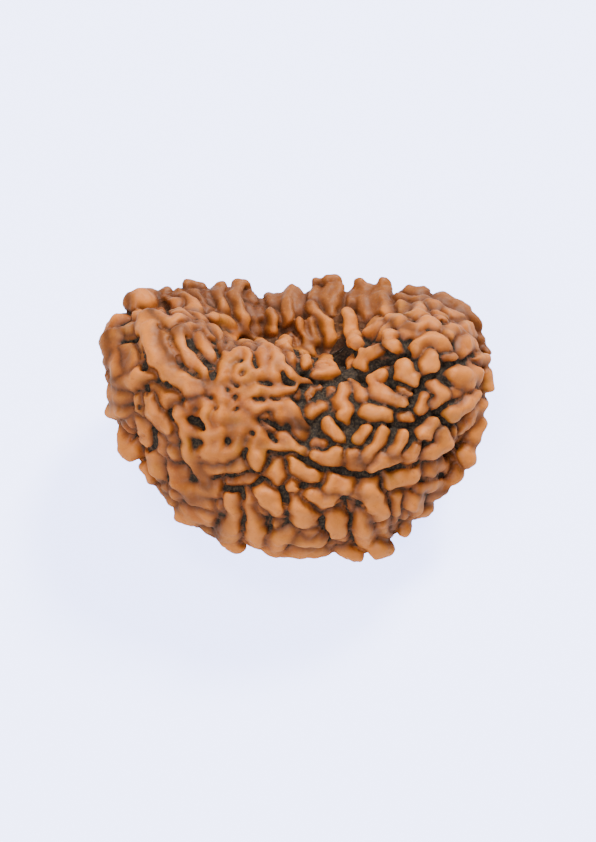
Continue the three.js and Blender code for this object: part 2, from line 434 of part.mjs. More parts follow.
// The points of a line drawn on the view, in short steps, dropped to the given height above the body
function drape(points, height) {
  const marks = points.map(([u, v, w = 0]) => [u, v, w]);
  const steps = [marks[0]];
  for (let i = 0; i + 1 < marks.length; i += 1) {
    const [a, b] = [marks[i], marks[i + 1]];
    const count = Math.ceil(Math.hypot(b[0] - a[0], b[1] - a[1]) / DRAPE_STEP);
    for (let k = 1; k <= count; k += 1) {
      steps.push(a.map((value, axis) => value + ((b[axis] - value) * k) / count));
    }
  }
  return steps.map(([u, v, w]) => {
    const spot = drop(u, v, height);
    return [spot[0], spot[1], spot[2] + w];
  });
}

// A lobe is one or more round-ended lines that run together, with the share of the foot that it has
function makeLobe(lines, foot, margin) {
  const bound = (pick, side) => [0, 1, 2].map((axis) => (
    pick(...lines.flatMap(({ radius, line }) => line.map((q) => q[axis] + side * (radius + margin))))));
  return { lines, foot, low: bound(Math.min, -1), high: bound(Math.max, 1) };
}

function ridgeLine([crest, rise, points]) {
  const radius = crest * RIDGE_SPREAD + RIDGE_SWELL;
  return { radius, line: drape(points, rise - radius) };
}

// A cut is drawn out along the body's normal, so that it goes down from the crests
function makeCut([radius, height, points]) {
  const line = drape(points, height);
  const middle = [0, 1, 2].map((axis) => line.reduce((sum, q) => sum + q[axis], 0) / line.length);
  const out = unit(gradient(bodyDistance, middle, bodyDistance(middle)));
  return { ...makeLobe([{ radius, line }], 0, radius * CUT_DRAW), out };
}

// A repeatable number from 0 to 1 for each whole number
function scatter(i, salt) {
  const value = Math.sin(i * 12.9898 + salt * 78.233) * 43758.5453;
  return value - Math.floor(value);
}

function between(range, part) {
  return range[0] + (range[1] - range[0]) * part;
}

// Lobes on an even spiral round the body, kept where wanted says so of their spot and its normal
function spiralLobes([count, radii, lengths, rise], wanted) {
  const lobes = [];
  for (let i = 0; i < count; i += 1) {
    const height = 1 - (2 * i + 1) / count;
    const turn = i * Math.PI * (3 - Math.sqrt(5));
    const wide = Math.sqrt(1 - height * height);
    const ray = unit([wide * Math.cos(turn) * 1.5, height, wide * Math.sin(turn) * 0.75]);
    let reach = 17;
    let spot = SPIRAL_CENTRE;
    do {
      spot = SPIRAL_CENTRE.map((value, axis) => value + ray[axis] * reach);
      reach -= 0.05;
    } while (reach > 0 && bodyDistance(spot) >= 0);
    const out = unit(gradient(bodyDistance, spot, bodyDistance(spot)));
    if (wanted(spot.map((value, axis) => value + out[axis] * rise * 0.5), out)) {
      const radius = between(radii, scatter(i, 1));
      const half = between(lengths, scatter(i, 2)) / 2;
      const stray = (scatter(i, 3) - 0.5) * 1.3;
      const up = [Math.sin(stray), Math.cos(stray), 0];
      const lean = dot(up, out);
      const along = unit(up.map((value, axis) => value - out[axis] * lean));
      const lift = rise * (0.8 + 0.3 * scatter(i, 4)) - radius;
      const middle = spot.map((value, axis) => value + out[axis] * lift);
      const line = [-half, half].map((step) => middle.map((value, axis) => value + along[axis] * step));
      lobes.push(makeLobe([{ radius, line }], 1, REACH));
    }
  }
  return lobes;
}

function cellKey(i, j, k) {
  return ((i + 40) * 80 + (j + 40)) * 80 + (k + 40);
}

function sortIntoCells(lobes) {
  const cells = new Map();
  for (const lobe of lobes) {
    const from = lobe.low.map((value) => Math.floor(value / CELL));
    const to = lobe.high.map((value) => Math.floor(value / CELL));
    for (let i = from[0]; i <= to[0]; i += 1) {
      for (let j = from[1]; j <= to[1]; j += 1) {
        for (let k = from[2]; k <= to[2]; k += 1) {
          const key = cellKey(i, j, k);
          cells.set(key, [...(cells.get(key) ?? []), lobe]);
        }
      }
    }
  }
  return cells;
}

function lobesNear(cells, p) {
  const key = cellKey(Math.floor(p[0] / CELL), Math.floor(p[1] / CELL), Math.floor(p[2] / CELL));
  return cells.get(key) ?? [];
}

// Distance from p to a lobe, or to a cut where it has a normal
function lobeDistance(p, { lines, out }) {
  let nearest = 9;
  for (const { radius, line } of lines) {
    let crest = Infinity;
    for (let i = 0; i + 1 < Math.max(line.length, 2); i += 1) {
      const a = line[i];
      const b = line[Math.min(i + 1, line.length - 1)];
      const ab = [b[0] - a[0], b[1] - a[1], b[2] - a[2]];
      const ap = [p[0] - a[0], p[1] - a[1], p[2] - a[2]];
      const t = Math.min(Math.max(dot(ap, ab) / (dot(ab, ab) + 1e-12), 0), 1);
      const away = [ap[0] - ab[0] * t, ap[1] - ab[1] * t, ap[2] - ab[2] * t];
      let square = dot(away, away);
      if (out) {
        const rise = dot(away, out);
        square += rise * rise * (1 / CUT_DRAW ** 2 - 1);
      }
      crest = Math.min(crest, Math.sqrt(square) - radius);
    }
    nearest = softMin(nearest, crest, WEB_BLEND);
  }
  return nearest;
}

const listedLobes = [
  ...RIDGES.map((ridge) => makeLobe([ridgeLine(ridge)], 1, REACH)),
  ...WEBS.map((web) => makeLobe(web.map(ridgeLine), WEB_FOOT, REACH)),
];
const backLobes = spiralLobes(BACK_LOBES, (spot, out) => out[2] < BACK_LIMIT);
const gapLobes = spiralLobes(GAP_LOBES, (spot, out) => (
  out[2] >= BACK_LIMIT && listedLobes.every((lobe) => lobeDistance(spot, lobe) > GAP_ROOM)));
const ridgeCells = sortIntoCells([...listedLobes, ...backLobes, ...gapLobes]);
const cutCells = sortIntoCells(CUTS.map(makeCut));

// The seed as it lies: up is the direction that points up from the table
const lean = (LEAN * Math.PI) / 180;
const UP = [0, Math.cos(lean), Math.sin(lean)];
const AWAY = [0, Math.sin(lean), -Math.cos(lean)];

function bend(p) {
  const bent = [...p];
  for (const [size, rate] of WOBBLES) {
    const [u, v, w] = [p[0] * rate, p[1] * rate, p[2] * rate];
    bent[0] += size * (Math.sin(v + 1.3) + Math.sin(0.7 * w + 0.4));
    bent[1] += size * (Math.sin(w + 2.1) + Math.sin(0.8 * u + 5.2));
    bent[2] += size * (Math.sin(u + 4.4) + Math.sin(0.9 * v + 3.3));
  }
  return bent;
}

function clip(value) {
  return Math.min(Math.max(value, 0), 1);
}

function seedDistance(p) {
  const bent = bend(p);
  let first = 9;
  let second = 9;
  let foot = 0;
  for (const lobe of lobesNear(ridgeCells, bent)) {
    const away = lobeDistance(bent, lobe);
    if (away < first) {
      second = first;
      first = away;
      foot = lobe.foot;
    } else {
      second = Math.min(second, away);
    }
  }
  const seam = clip(1 - (second - first) / GROOVE_WIDTH);
  const side = clip((second - first) / FOOT_WIDTH);
  const share = foot * Math.sqrt(side * (2 - side)) * clip(1.5 * (1 - first / FOOT_REACH));
  const ridged = first + GROOVE_DEPTH * seam * seam;
  let distance = softMin(bodyDistance(bent) - FOOT_HEIGHT * share, ridged, FOOT_BLEND);
  for (const lobe of lobesNear(cutCells, bent)) {
    distance = -softMin(-distance, lobeDistance(bent, lobe), CUT_BLEND);
  }
  return Math.max(distance, REST_LEVEL - dot(p, UP));
}

// A skin is a list of points and a list of triangles
function startSkin() {
  const ball = new IcosahedronGeometry(1, BALL_DETAIL);
  ball.deleteAttribute('normal');
  ball.deleteAttribute('uv');
  const joined = mergeVertices(ball, 1e-5);
  joined.scale(...START_BALL);
  joined.translate(...START_CENTRE);
  const points = [];
  for (let i = 0; i < joined.attributes.position.count; i += 1) {
    points.push([0, 1, 2].map((axis) => joined.attributes.position.getComponent(i, axis)));
  }
  const triangles = [];
  for (let i = 0; i < joined.index.count; i += 3) {
    triangles.push([0, 1, 2].map((k) => joined.index.getX(i + k)));
  }
  return { points, triangles };
}

// Halves every edge that is longer, and cuts the triangles at the new points
function splitLong({ points, triangles }, longest) {
  const middles = new Map();
  const grown = [...points];
  const middle = (a, b) => {
    const key = Math.min(a, b) * 100000 + Math.max(a, b);
    if (!middles.has(key)) {
      const gap = [0, 1, 2].map((axis) => points[b][axis] - points[a][axis]);
      middles.set(key, length(gap) > longest ? grown.length : null);
      if (length(gap) > longest) {
        grown.push(points[a].map((value, axis) => value + gap[axis] / 2));
      }
    }
    return middles.get(key);
  };
  const split = triangles.flatMap(([a, b, c]) => {
    const [ab, bc, ca] = [middle(a, b), middle(b, c), middle(c, a)];
    const corners = [a, ab, b, bc, c, ca];
    const cut = [ab, bc, ca].filter((point) => point !== null).length;
    if (cut === 0) {
      return [[a, b, c]];
    }
    if (cut === 3) {
      return [[a, ab, ca], [ab, b, bc], [ca, bc, c], [ab, bc, ca]];
    }
    // turned until the first edge is cut and the last is whole
    const turn = ab !== null && ca === null ? 0 : (bc !== null && ab === null ? 2 : 4);
    const [p, pq, q, qr, r] = [...corners.slice(turn), ...corners.slice(0, turn)];
    return qr === null ? [[p, pq, r], [pq, q, r]] : [[p, pq, r], [pq, q, qr], [pq, qr, r]];
  });
  return { points: grown, triangles: split };
}

function neighbourLists({ points, triangles }) {
  const lists = points.map(() => new Set());
  for (const [a, b, c] of triangles) {
    lists[a].add(b).add(c);
    lists[b].add(c).add(a);
    lists[c].add(a).add(b);
  }
  return lists.map((set) => [...set]);
}

// The wanted size of the triangles at a depth: small where the seed faces the eye
function wantedSize(w) {
  const part = Math.min(Math.max((w + 5) / 6, 0), 1);
  return 1 + (FRONT_SIZE - 1) * part;
}

// One round draws every point towards the surface and evens out the triangles round it
function settle(points, neighbours, field, spread) {
  return points.map((p, i) => {
    const pull = [0, 0, 0];
    let weights = 0;
    for (const j of neighbours[i]) {
      const gap = [0, 1, 2].map((axis) => points[j][axis] - p[axis]);
      const weight = (length(gap) / wantedSize((points[j][2] + p[2]) / 2)) ** 2;
      weights += weight;
      for (let axis = 0; axis < 3; axis += 1) {
        pull[axis] += gap[axis] * weight;
      }
    }
    const here = field(p);
    const slope = gradient(field, p, here);
    const out = unit(slope);
    const lift = dot(pull, out);
    const step = Math.min(Math.max(here / Math.max(length(slope), 0.5), -STEP), STEP);
    return p.map((value, axis) => {
      const even = (pull[axis] - lift * out[axis]) / weights;
      return value + spread * even - step * out[axis];
    });
  });
}

function settleRounds({ points, triangles }, field, rounds, spread) {
  const neighbours = neighbourLists({ points, triangles });
  let settled = points;
  for (let round = 0; round < rounds; round += 1) {
    settled = settle(settled, neighbours, field, spread);
  }
  return { points: settled, triangles };
}

function makeSeed() {
  let skin = startSkin();
  for (const longest of LOOSE_EDGES) {
    skin = settleRounds(splitLong(skin, longest), (p) => bodyDistance(p) - LOOSE_FIT, LOOSE_ROUNDS, SPREAD);
  }
  for (const [longest, fit, rounds] of STAGES) {
    skin = settleRounds(splitLong(skin, longest), (p) => seedDistance(p) - fit, rounds, SPREAD);
  }
  return settleRounds(skin, seedDistance, LAST_ROUNDS, 0);
}

function layDown({ points, triangles }) {
  const scale = SEED_LENGTH / DRAWN_LENGTH;
  const laid = points.map((p) => {
    const z = dot(p, UP) - REST_LEVEL;
    return [p[0] * scale, dot(p, AWAY) * scale, (Math.abs(z) < FLAT ? 0 : z) * scale];
  });
  const middle = [0, 1].map((axis) => {
    const values = laid.map((p) => p[axis]);
    return (Math.min(...values) + Math.max(...values)) / 2;
  });
  const placed = new Float32Array(laid.flatMap((p) => [p[0] - middle[0], p[1] - middle[1], p[2]]));
  const solid = new BufferGeometry();
  solid.setAttribute('position', new BufferAttribute(placed, 3));
  solid.setIndex(triangles.flat());
  return solid;
}

const material = new MeshStandardMaterial({ color: SKIN, roughness: 0.6 });
const fine = layDown(makeSeed());
const spare = fine.attributes.position.count - KEPT_POINTS;
const kept = await new SimplifyModifier().modify(fine, spare);
kept.computeVertexNormals();
const seed = new Mesh(kept, material);
seed.name = 'seed';

const rudraksha = new Group();
rudraksha.add(seed);

export default rudraksha;
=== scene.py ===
import math

import bmesh
import bpy
import numpy as np
from mathutils import Euler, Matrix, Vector, noise


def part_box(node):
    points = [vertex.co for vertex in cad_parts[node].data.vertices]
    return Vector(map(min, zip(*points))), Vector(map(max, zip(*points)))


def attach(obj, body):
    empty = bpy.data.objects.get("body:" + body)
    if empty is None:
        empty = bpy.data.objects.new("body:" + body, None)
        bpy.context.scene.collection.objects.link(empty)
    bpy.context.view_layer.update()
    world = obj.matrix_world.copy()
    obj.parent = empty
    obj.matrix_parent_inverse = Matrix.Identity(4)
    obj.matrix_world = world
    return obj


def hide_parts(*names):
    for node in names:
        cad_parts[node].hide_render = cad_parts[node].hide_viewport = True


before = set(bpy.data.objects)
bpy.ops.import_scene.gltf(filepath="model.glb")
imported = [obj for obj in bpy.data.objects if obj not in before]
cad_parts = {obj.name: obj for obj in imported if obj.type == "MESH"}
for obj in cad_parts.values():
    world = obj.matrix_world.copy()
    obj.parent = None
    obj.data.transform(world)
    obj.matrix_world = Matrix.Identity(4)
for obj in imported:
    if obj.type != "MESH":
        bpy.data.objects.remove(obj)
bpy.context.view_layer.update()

bl_info = {
    "name": "Rudraksha Seed",
    "version": (1, 0, 0),
    "blender": (4, 5, 0),
    "location": "View3D > Sidebar > Seed",
    "description": "Builds a half-moon one-faced rudraksha seed and a plain studio to show it in",
    "category": "Add Mesh",
}

MM = 0.001

# The seed is described as seen from the front: u to the right, v up, w towards the eye, in millimetres.
LEAN = math.radians(65)  # how far the face looks up, as the seed lies on its back
EYE = 353.0  # distance of the eye that the crests are laid out for
UP = np.array([0, math.cos(LEAN), math.sin(LEAN)])
AWAY = np.array([0, math.sin(LEAN), -math.cos(LEAN)])
REST_LEVEL = -8.55  # the table's height along UP

# The smooth body under the ridges: centre and half sizes of the egg shapes that run together in it
BODY = [
    [[0.6, -3.0, -1.0], [10.8, 6.6, 6.0]],  # belly
    [[-8.8, 2.6, -0.6], [4.7, 5.2, 5.0]],  # left shoulder
    [[9.3, 2.6, -0.8], [4.7, 5.0, 5.0]],  # right shoulder
    [[-3.6, 0.6, 2.4], [6.6, 4.6, 3.2]],  # net plate
    [[5.2, -0.9, 2.2], [6.2, 3.0, 3.0]],  # right of the face
    [[0.6, 2.6, -5.9], [12.6, 6.1, 3.4]],  # wall behind the valley
    [[-8.0, 5.1, -4.2], [4.0, 3.6, 3.0]],  # left end of the wall
    [[9.8, 5.4, -4.2], [3.8, 3.4, 3.0]],  # right end of the wall
    [[-7.7, 8.0, -4.6], [1.4, 1.2, 1.6]],  # first block of teeth on the wall
    [[-5.5, 7.9, -4.8], [1.0, 1.2, 1.5]],  # second block
    [[-3.9, 7.7, -5.2], [1.0, 1.3, 1.5]],  # third block
    [[-0.5, 7.4, -5.4], [1.5, 1.2, 1.5]],  # fourth block
    [[2.6, 8.0, -5.4], [1.3, 1.5, 1.6]],  # fifth block, the tallest
    [[6.0, 7.7, -5.2], [1.6, 1.4, 1.6]],  # sixth block
    [[9.3, 7.6, -4.6], [1.6, 1.2, 1.7]],  # seventh block
    [[-12.6, 5.4, -1.8], [1.2, 1.9, 2.0]],  # left tip
]
BODY_BLEND = 1.6  # how far the egg shapes melt into each other

# Each ridge is [radius, rise above the body, points of its crest]. A third number in a point moves it in w.
LEFT_END = [
    [0.80, 1.0, [[-13.1, 6.8], [-13.4, 5.7], [-13.2, 4.6]]],
    [0.80, 0.9, [[-12.9, 6.2], [-12.9, 4.6], [-12.6, 3.4]]],
    [0.70, 0.6, [[-12.1, 5.1], [-12.0, 3.7]]],
    [0.45, 0.8, [[-12.6, 6.6], [-11.8, 6.5]]],
    [0.75, 1.2, [[-10.9, 7.1], [-10.4, 5.4], [-9.9, 4.1], [-8.7, 3.1], [-7.5, 2.2]]],
    [0.65, 0.9, [[-9.8, 6.0], [-9.5, 5.0], [-9.2, 4.2], [-8.6, 3.5]]],
    [0.50, 1.0, [[-10.9, 7.4], [-10.0, 7.3], [-9.3, 6.9], [-8.8, 7.2]]],
    [0.52, 1.0, [[-8.5, 6.2], [-8.3, 5.2], [-8.0, 4.4], [-7.2, 3.8], [-6.6, 3.4]]],
    [0.50, 1.0, [[-8.5, 6.2], [-7.8, 6.7], [-6.9, 6.6], [-6.5, 6.0]]],
    [0.60, 0.9, [[-7.2, 6.3], [-6.9, 5.5], [-6.3, 4.6]]],
    [0.42, 0.6, [[-5.9, 6.4], [-5.5, 5.6], [-5.3, 4.9]]],
]
LEFT_REAR = [
    [0.45, 1.0, [[-12.4, 8.6], [-12.0, 8.0], [-11.5, 7.4]]],
    [0.75, 0.8, [[-11.8, 8.4], [-10.8, 8.8], [-10.0, 8.6]]],
    [0.55, 0.9, [[-9.5, 9.3], [-9.1, 8.7], [-8.5, 8.3]]],
    [0.50, 0.9, [[-8.6, 9.2], [-7.9, 8.7], [-7.5, 8.0]]],
    [0.50, 0.7, [[-7.4, 9.1], [-6.8, 8.5], [-6.4, 8.0]]],
]
WALL_TEETH = [
    [0.42, 0.6, [[-8.0, 9.8], [-7.2, 9.5]]],
    [0.35, 0.8, [[-5.65, 9.8], [-5.5, 9.0], [-5.3, 8.2]]],
    [0.35, 0.6, [[-6.1, 9.2], [-6.3, 8.4]]],
    [0.35, 0.6, [[-3.2, 8.0], [-3.0, 7.3], [-2.9, 6.6]]],
    [0.28, 0.6, [[-2.5, 8.9], [-2.4, 8.2], [-2.4, 7.7]]],
    [0.28, 1.0, [[-1.55, 8.0], [-1.45, 7.2], [-1.4, 6.5]]],
    [0.40, 1.2, [[1.65, 8.4], [2.0, 7.6], [2.5, 6.9], [2.8, 6.2], [2.9, 5.7]]],
    [0.42, 1.5, [[4.15, 7.8], [4.3, 7.0], [4.6, 6.1], [4.9, 5.6]]],
]
LEFT_BLOCK = [
    [0.35, 0.9, [[-4.25, 9.85], [-4.2, 9.2], [-4.0, 8.2], [-3.8, 7.2], [-3.7, 6.4]]],
    [0.38, 0.8, [[-3.6, 9.7], [-3.2, 9.3], [-2.8, 8.7]]],
]
MIDDLE_BLOCK = [
    [0.30, 0.7, [[-1.85, 9.2], [-1.75, 8.6]]],
    [0.24, 0.5, [[-1.1, 9.2], [-0.9, 8.6]]],
    [0.34, 0.9, [[-0.2, 9.5], [-0.3, 8.6], [-0.35, 7.8], [-0.4, 7.2]]],
    [0.34, 0.7, [[0.35, 9.4], [0.6, 8.9], [0.7, 8.3]]],
]
TALL_BLOCK = [
    [0.34, 0.8, [[1.75, 10.2], [1.7, 9.3], [1.75, 8.7]]],
    [0.36, 0.7, [[2.5, 10.25], [2.45, 9.3], [2.6, 8.6]]],
    [0.34, 0.8, [[3.2, 10.2], [3.5, 9.3], [3.2, 8.4], [2.95, 7.8]]],
]
RIGHT_BLOCK = [
    [0.33, 0.8, [[5.0, 10.1], [4.75, 9.3], [4.6, 8.7]]],
    [0.42, 0.8, [[5.5, 9.6], [5.5, 8.8], [5.6, 8.0], [5.6, 7.5]]],
    [0.36, 0.7, [[6.2, 9.3], [6.3, 8.5], [6.5, 7.7]]],
    [0.40, 0.9, [[6.8, 9.85], [7.0, 9.1], [7.15, 8.4], [7.1, 7.7]]],
]
RIGHT_TOP = [
    [0.42, 0.7, [[8.8, 9.5], [9.7, 9.4], [10.2, 9.1]]],
    [0.38, 0.6, [[8.3, 8.9], [9.3, 8.8], [10.1, 8.7]]],
    [0.40, 0.7, [[8.2, 8.2], [8.8, 8.0]]],
    [0.42, 0.8, [[9.4, 8.2], [9.5, 7.6]]],
    [0.38, 0.7, [[10.3, 8.3], [10.9, 8.0]]],
    [0.45, 0.7, [[10.9, 8.9], [11.7, 8.8], [12.4, 8.4], [13.0, 7.9], [13.5, 7.2], [13.8, 6.7]]],
    [0.40, 0.8, [[11.6, 7.6], [12.4, 7.5], [13.0, 7.3]]],
    [0.40, 0.8, [[7.4, 7.2], [8.1, 7.0], [8.6, 6.7]]],
    [0.38, 0.9, [[8.9, 6.9], [9.4, 6.7], [10.1, 7.1], [10.9, 6.7]]],
    [0.50, 0.8, [[6.1, 6.9], [6.6, 6.5], [6.0, 6.2]]],
    [0.40, 0.7, [[8.4, 6.2], [9.1, 6.1]]],
    [0.30, 0.6, [[11.4, 7.0], [12.1, 6.9]]],
]
NEAR_RIM = [
    [0.36, 1.0, [[-0.1, 6.1], [-0.5, 5.7], [-0.7, 5.2]]],
    [0.30, 1.0, [[0.0, 6.1], [0.4, 5.4], [0.8, 4.4], [1.1, 4.0]]],
    [0.32, 1.2, [[0.45, 7.2], [0.8, 6.4], [1.1, 5.5], [1.2, 4.8]]],
    [0.33, 1.1, [[1.2, 7.3], [1.45, 6.6], [1.7, 5.7]]],
    [0.45, 1.0, [[2.3, 4.2], [2.0, 3.2], [3.1, 3.2], [2.3, 4.2]]],
    [0.35, 0.6, [[2.2, 5.2], [2.8, 4.9]]],
    [0.33, 0.6, [[3.5, 5.2], [4.2, 5.1]]],
    [0.50, 1.2, [[5.2, 4.1], [5.4, 4.8], [6.0, 5.0], [6.8, 5.2]]],
    [0.50, 1.3, [[7.3, 6.1], [7.0, 5.4], [7.6, 5.3]]],
    [0.40, 0.8, [[4.6, 4.3], [4.6, 3.5]]],
    [0.60, 1.0, [[11.6, 6.0], [12.6, 6.5], [13.4, 6.3], [13.9, 5.6]]],
    [0.75, 1.0, [[12.3, 5.5], [13.1, 5.4]]],
    [0.25, 0.6, [[14.2, 5.3], [14.7, 4.9]]],
    [0.70, 1.1, [[9.7, 5.2], [10.5, 5.5], [11.2, 5.2]]],
    [0.65, 1.1, [[10.3, 4.6], [10.4, 3.8]]],
    [0.45, 0.8, [[11.4, 4.6], [11.9, 4.6]]],
    [0.65, 1.1, [[8.6, 3.7], [8.5, 3.1], [9.1, 2.9]]],
]
RIGHT_END = [
    [0.50, 0.8, [[13.6, 4.3], [14.2, 4.2]]],
    [0.75, 1.0, [[12.3, 3.2], [13.0, 2.9], [13.6, 3.1]]],
    [0.50, 0.8, [[14.4, 3.3], [14.5, 2.5]]],
    [0.50, 1.0, [[13.6, 1.7], [12.8, 1.0], [11.8, 0.2]]],
    [0.60, 0.9, [[13.9, 0.9], [13.2, 0.1], [12.4, -0.5]]],
    [0.60, 0.8, [[13.8, -0.3], [13.4, -1.3]]],
    [0.60, 1.0, [[10.7, 2.1], [11.2, 1.4], [10.5, 0.8]]],
    [0.50, 1.0, [[10.0, 1.3], [9.8, 0.8], [10.1, 0.6]]],
    [0.33, 0.6, [[8.4, 0.0], [9.1, 0.05]]],
    [0.45, 1.0, [[6.9, 2.9], [6.2, 2.9], [6.3, 1.9], [7.6, 1.4], [8.4, 1.2]]],
    [0.40, 0.9, [[8.1, 1.9], [8.8, 1.8]]],
    [0.52, 1.0, [[5.7, 0.6], [6.2, 0.3], [7.2, 0.1]]],
    [0.38, 0.9, [[4.4, 2.6], [4.9, 2.2], [5.2, 1.6]]],
    [0.42, 0.9, [[4.2, 2.3], [3.7, 1.5], [3.7, 1.1], [4.2, 0.5], [4.0, 0.1]]],
    [0.35, 0.8, [[2.1, 2.3], [1.4, 2.1], [1.2, 1.3]]],
    [0.42, 0.8, [[1.3, 1.1], [1.6, 0.5], [2.0, 0.9]]],
    [0.25, 0.5, [[2.5, 2.1], [3.0, 1.9]]],
    [0.25, 0.5, [[0.5, 2.5], [0.3, 1.8]]],
    [0.45, 0.9, [[2.7, -0.4], [3.2, -1.2], [3.5, -1.6]]],
    [0.42, 0.9, [[5.6, -0.8], [5.2, -1.3], [4.9, -1.7]]],
    [0.42, 0.9, [[6.8, -1.0], [6.3, -1.9], [5.8, -2.6], [5.1, -3.1]]],
    [0.50, 1.0, [[4.8, -2.7], [4.9, -3.3]]],
    [0.38, 0.9, [[8.4, -1.2], [8.1, -1.8], [7.8, -2.6]]],
    [0.38, 1.0, [[7.8, -3.1], [6.9, -3.3], [6.2, -3.6]]],
    [0.45, 0.9, [[9.4, -1.9], [9.2, -2.6], [8.6, -3.1]]],
    [0.60, 1.1, [[10.7, -0.6], [10.2, -1.3], [9.8, -1.3]]],
    [0.60, 1.1, [[10.9, -1.2], [11.2, -2.0], [10.5, -2.4]]],
    [0.35, 0.7, [[1.7, -1.9], [2.3, -1.8]]],
    [0.45, 1.0, [[1.8, -2.7], [2.5, -2.9], [3.2, -3.1], [3.4, -2.6]]],
    [0.50, 0.8, [[0.4, -0.5], [0.6, -1.0]]],
]
NET_PLATE = [
    [0.30, 0.8, [[-6.4, 7.5], [-5.9, 7.7], [-5.2, 7.2], [-4.7, 6.7], [-4.2, 6.3], [-3.4, 5.9],
                 [-2.5, 5.6]]],
    [0.30, 0.8, [[-2.5, 5.6], [-1.6, 5.2], [-1.1, 4.7], [-0.8, 3.8], [0.0, 3.1], [0.8, 2.7],
                 [1.7, 2.4]]],
    [0.28, 0.7, [[-5.0, 5.2], [-4.6, 5.8], [-4.2, 6.2]]],
    [0.25, 0.7, [[-4.8, 3.6], [-4.7, 4.3], [-4.3, 4.8], [-3.6, 5.0], [-3.3, 4.6], [-3.4, 4.0],
                 [-4.0, 3.7]]],
    [0.25, 0.7, [[-3.4, 4.0], [-3.1, 3.4], [-3.3, 2.8], [-3.9, 2.7], [-4.3, 3.1], [-4.0, 3.7]]],
    [0.30, 0.7, [[-2.5, 5.5], [-2.2, 4.8], [-2.1, 4.0], [-2.4, 3.4]]],
    [0.32, 0.8, [[-1.2, 4.9], [-1.4, 4.2], [-1.6, 3.5], [-1.3, 3.1]]],
    [0.22, 0.6, [[-4.9, 2.9], [-4.6, 2.3], [-4.4, 1.9], [-3.8, 2.0]]],
    [0.22, 0.6, [[-3.3, 2.8], [-2.7, 3.1], [-2.0, 3.1], [-1.3, 3.1], [-0.9, 2.7], [-1.2, 2.2]]],
    [0.25, 0.7, [[-3.7, 1.4], [-3.1, 1.95], [-2.5, 2.4], [-1.9, 2.1], [-1.2, 2.0], [-0.5, 2.1],
                 [0.1, 2.0]]],
    [0.35, 0.7, [[-3.4, 1.0], [-2.4, 0.85], [-1.9, 0.9], [-0.5, 0.9], [0.2, 0.6], [0.5, 0.1],
                 [0.7, -0.6]]],
    [0.28, 0.7, [[-5.3, 1.4], [-4.6, 1.1], [-4.4, 0.9]]],
    [0.22, 0.8, [[0.6, 2.7], [0.2, 2.2]]],
    [0.55, 0.7, [[-5.0, 0.0], [-4.2, -0.2], [-3.4, -0.3]]],
    [0.45, 0.6, [[-4.6, -0.8], [-3.8, -0.9]]],
    [0.30, 0.7, [[-2.4, -0.9], [-2.1, -1.6], [-1.7, -2.1], [-0.6, -2.1], [0.5, -2.3], [1.1, -2.5]]],
    [0.30, 0.7, [[-0.7, -1.5], [0.0, -1.9]]],
    [0.38, 0.7, [[-1.0, 0.2], [-0.2, 0.0], [0.5, -0.6]]],
    [0.30, 0.6, [[-2.8, -1.6], [-3.0, -2.1]]],
    [0.30, 0.6, [[-4.2, -1.7], [-4.4, -2.4], [-5.0, -3.0]]],
    [0.33, 0.6, [[-5.5, -1.3], [-5.6, -2.2], [-5.9, -3.0]]],
    [0.50, 0.9, [[-2.5, -2.9], [-2.6, -3.1]]],
    [0.33, 0.8, [[-8.7, 0.9], [-8.4, -0.3], [-8.2, -1.2], [-7.9, -2.2], [-7.5, -3.2], [-6.9, -4.2],
                 [-6.2, -5.0]]],
    [0.30, 0.8, [[-7.9, 1.1], [-7.2, 1.3], [-6.4, 0.95], [-6.5, -0.1], [-6.2, -1.1]]],
    [0.30, 0.7, [[-8.1, -0.6], [-7.2, -1.1], [-6.2, -1.1], [-5.5, -0.9]]],
    [0.35, 0.7, [[-6.4, -1.1], [-6.2, -2.0], [-6.5, -2.8], [-7.5, -3.2]]],
    [0.28, 0.6, [[-5.6, 1.9], [-6.4, 2.3], [-7.3, 2.3]]],
    [0.30, 0.6, [[-5.4, 0.6], [-5.6, -0.3], [-6.2, -1.1]]],
    [0.30, 0.6, [[-5.3, 3.3], [-5.0, 4.2], [-5.2, 5.0]]],
    [0.28, 0.6, [[-4.9, 2.9], [-5.6, 2.7], [-6.3, 2.6]]],
]
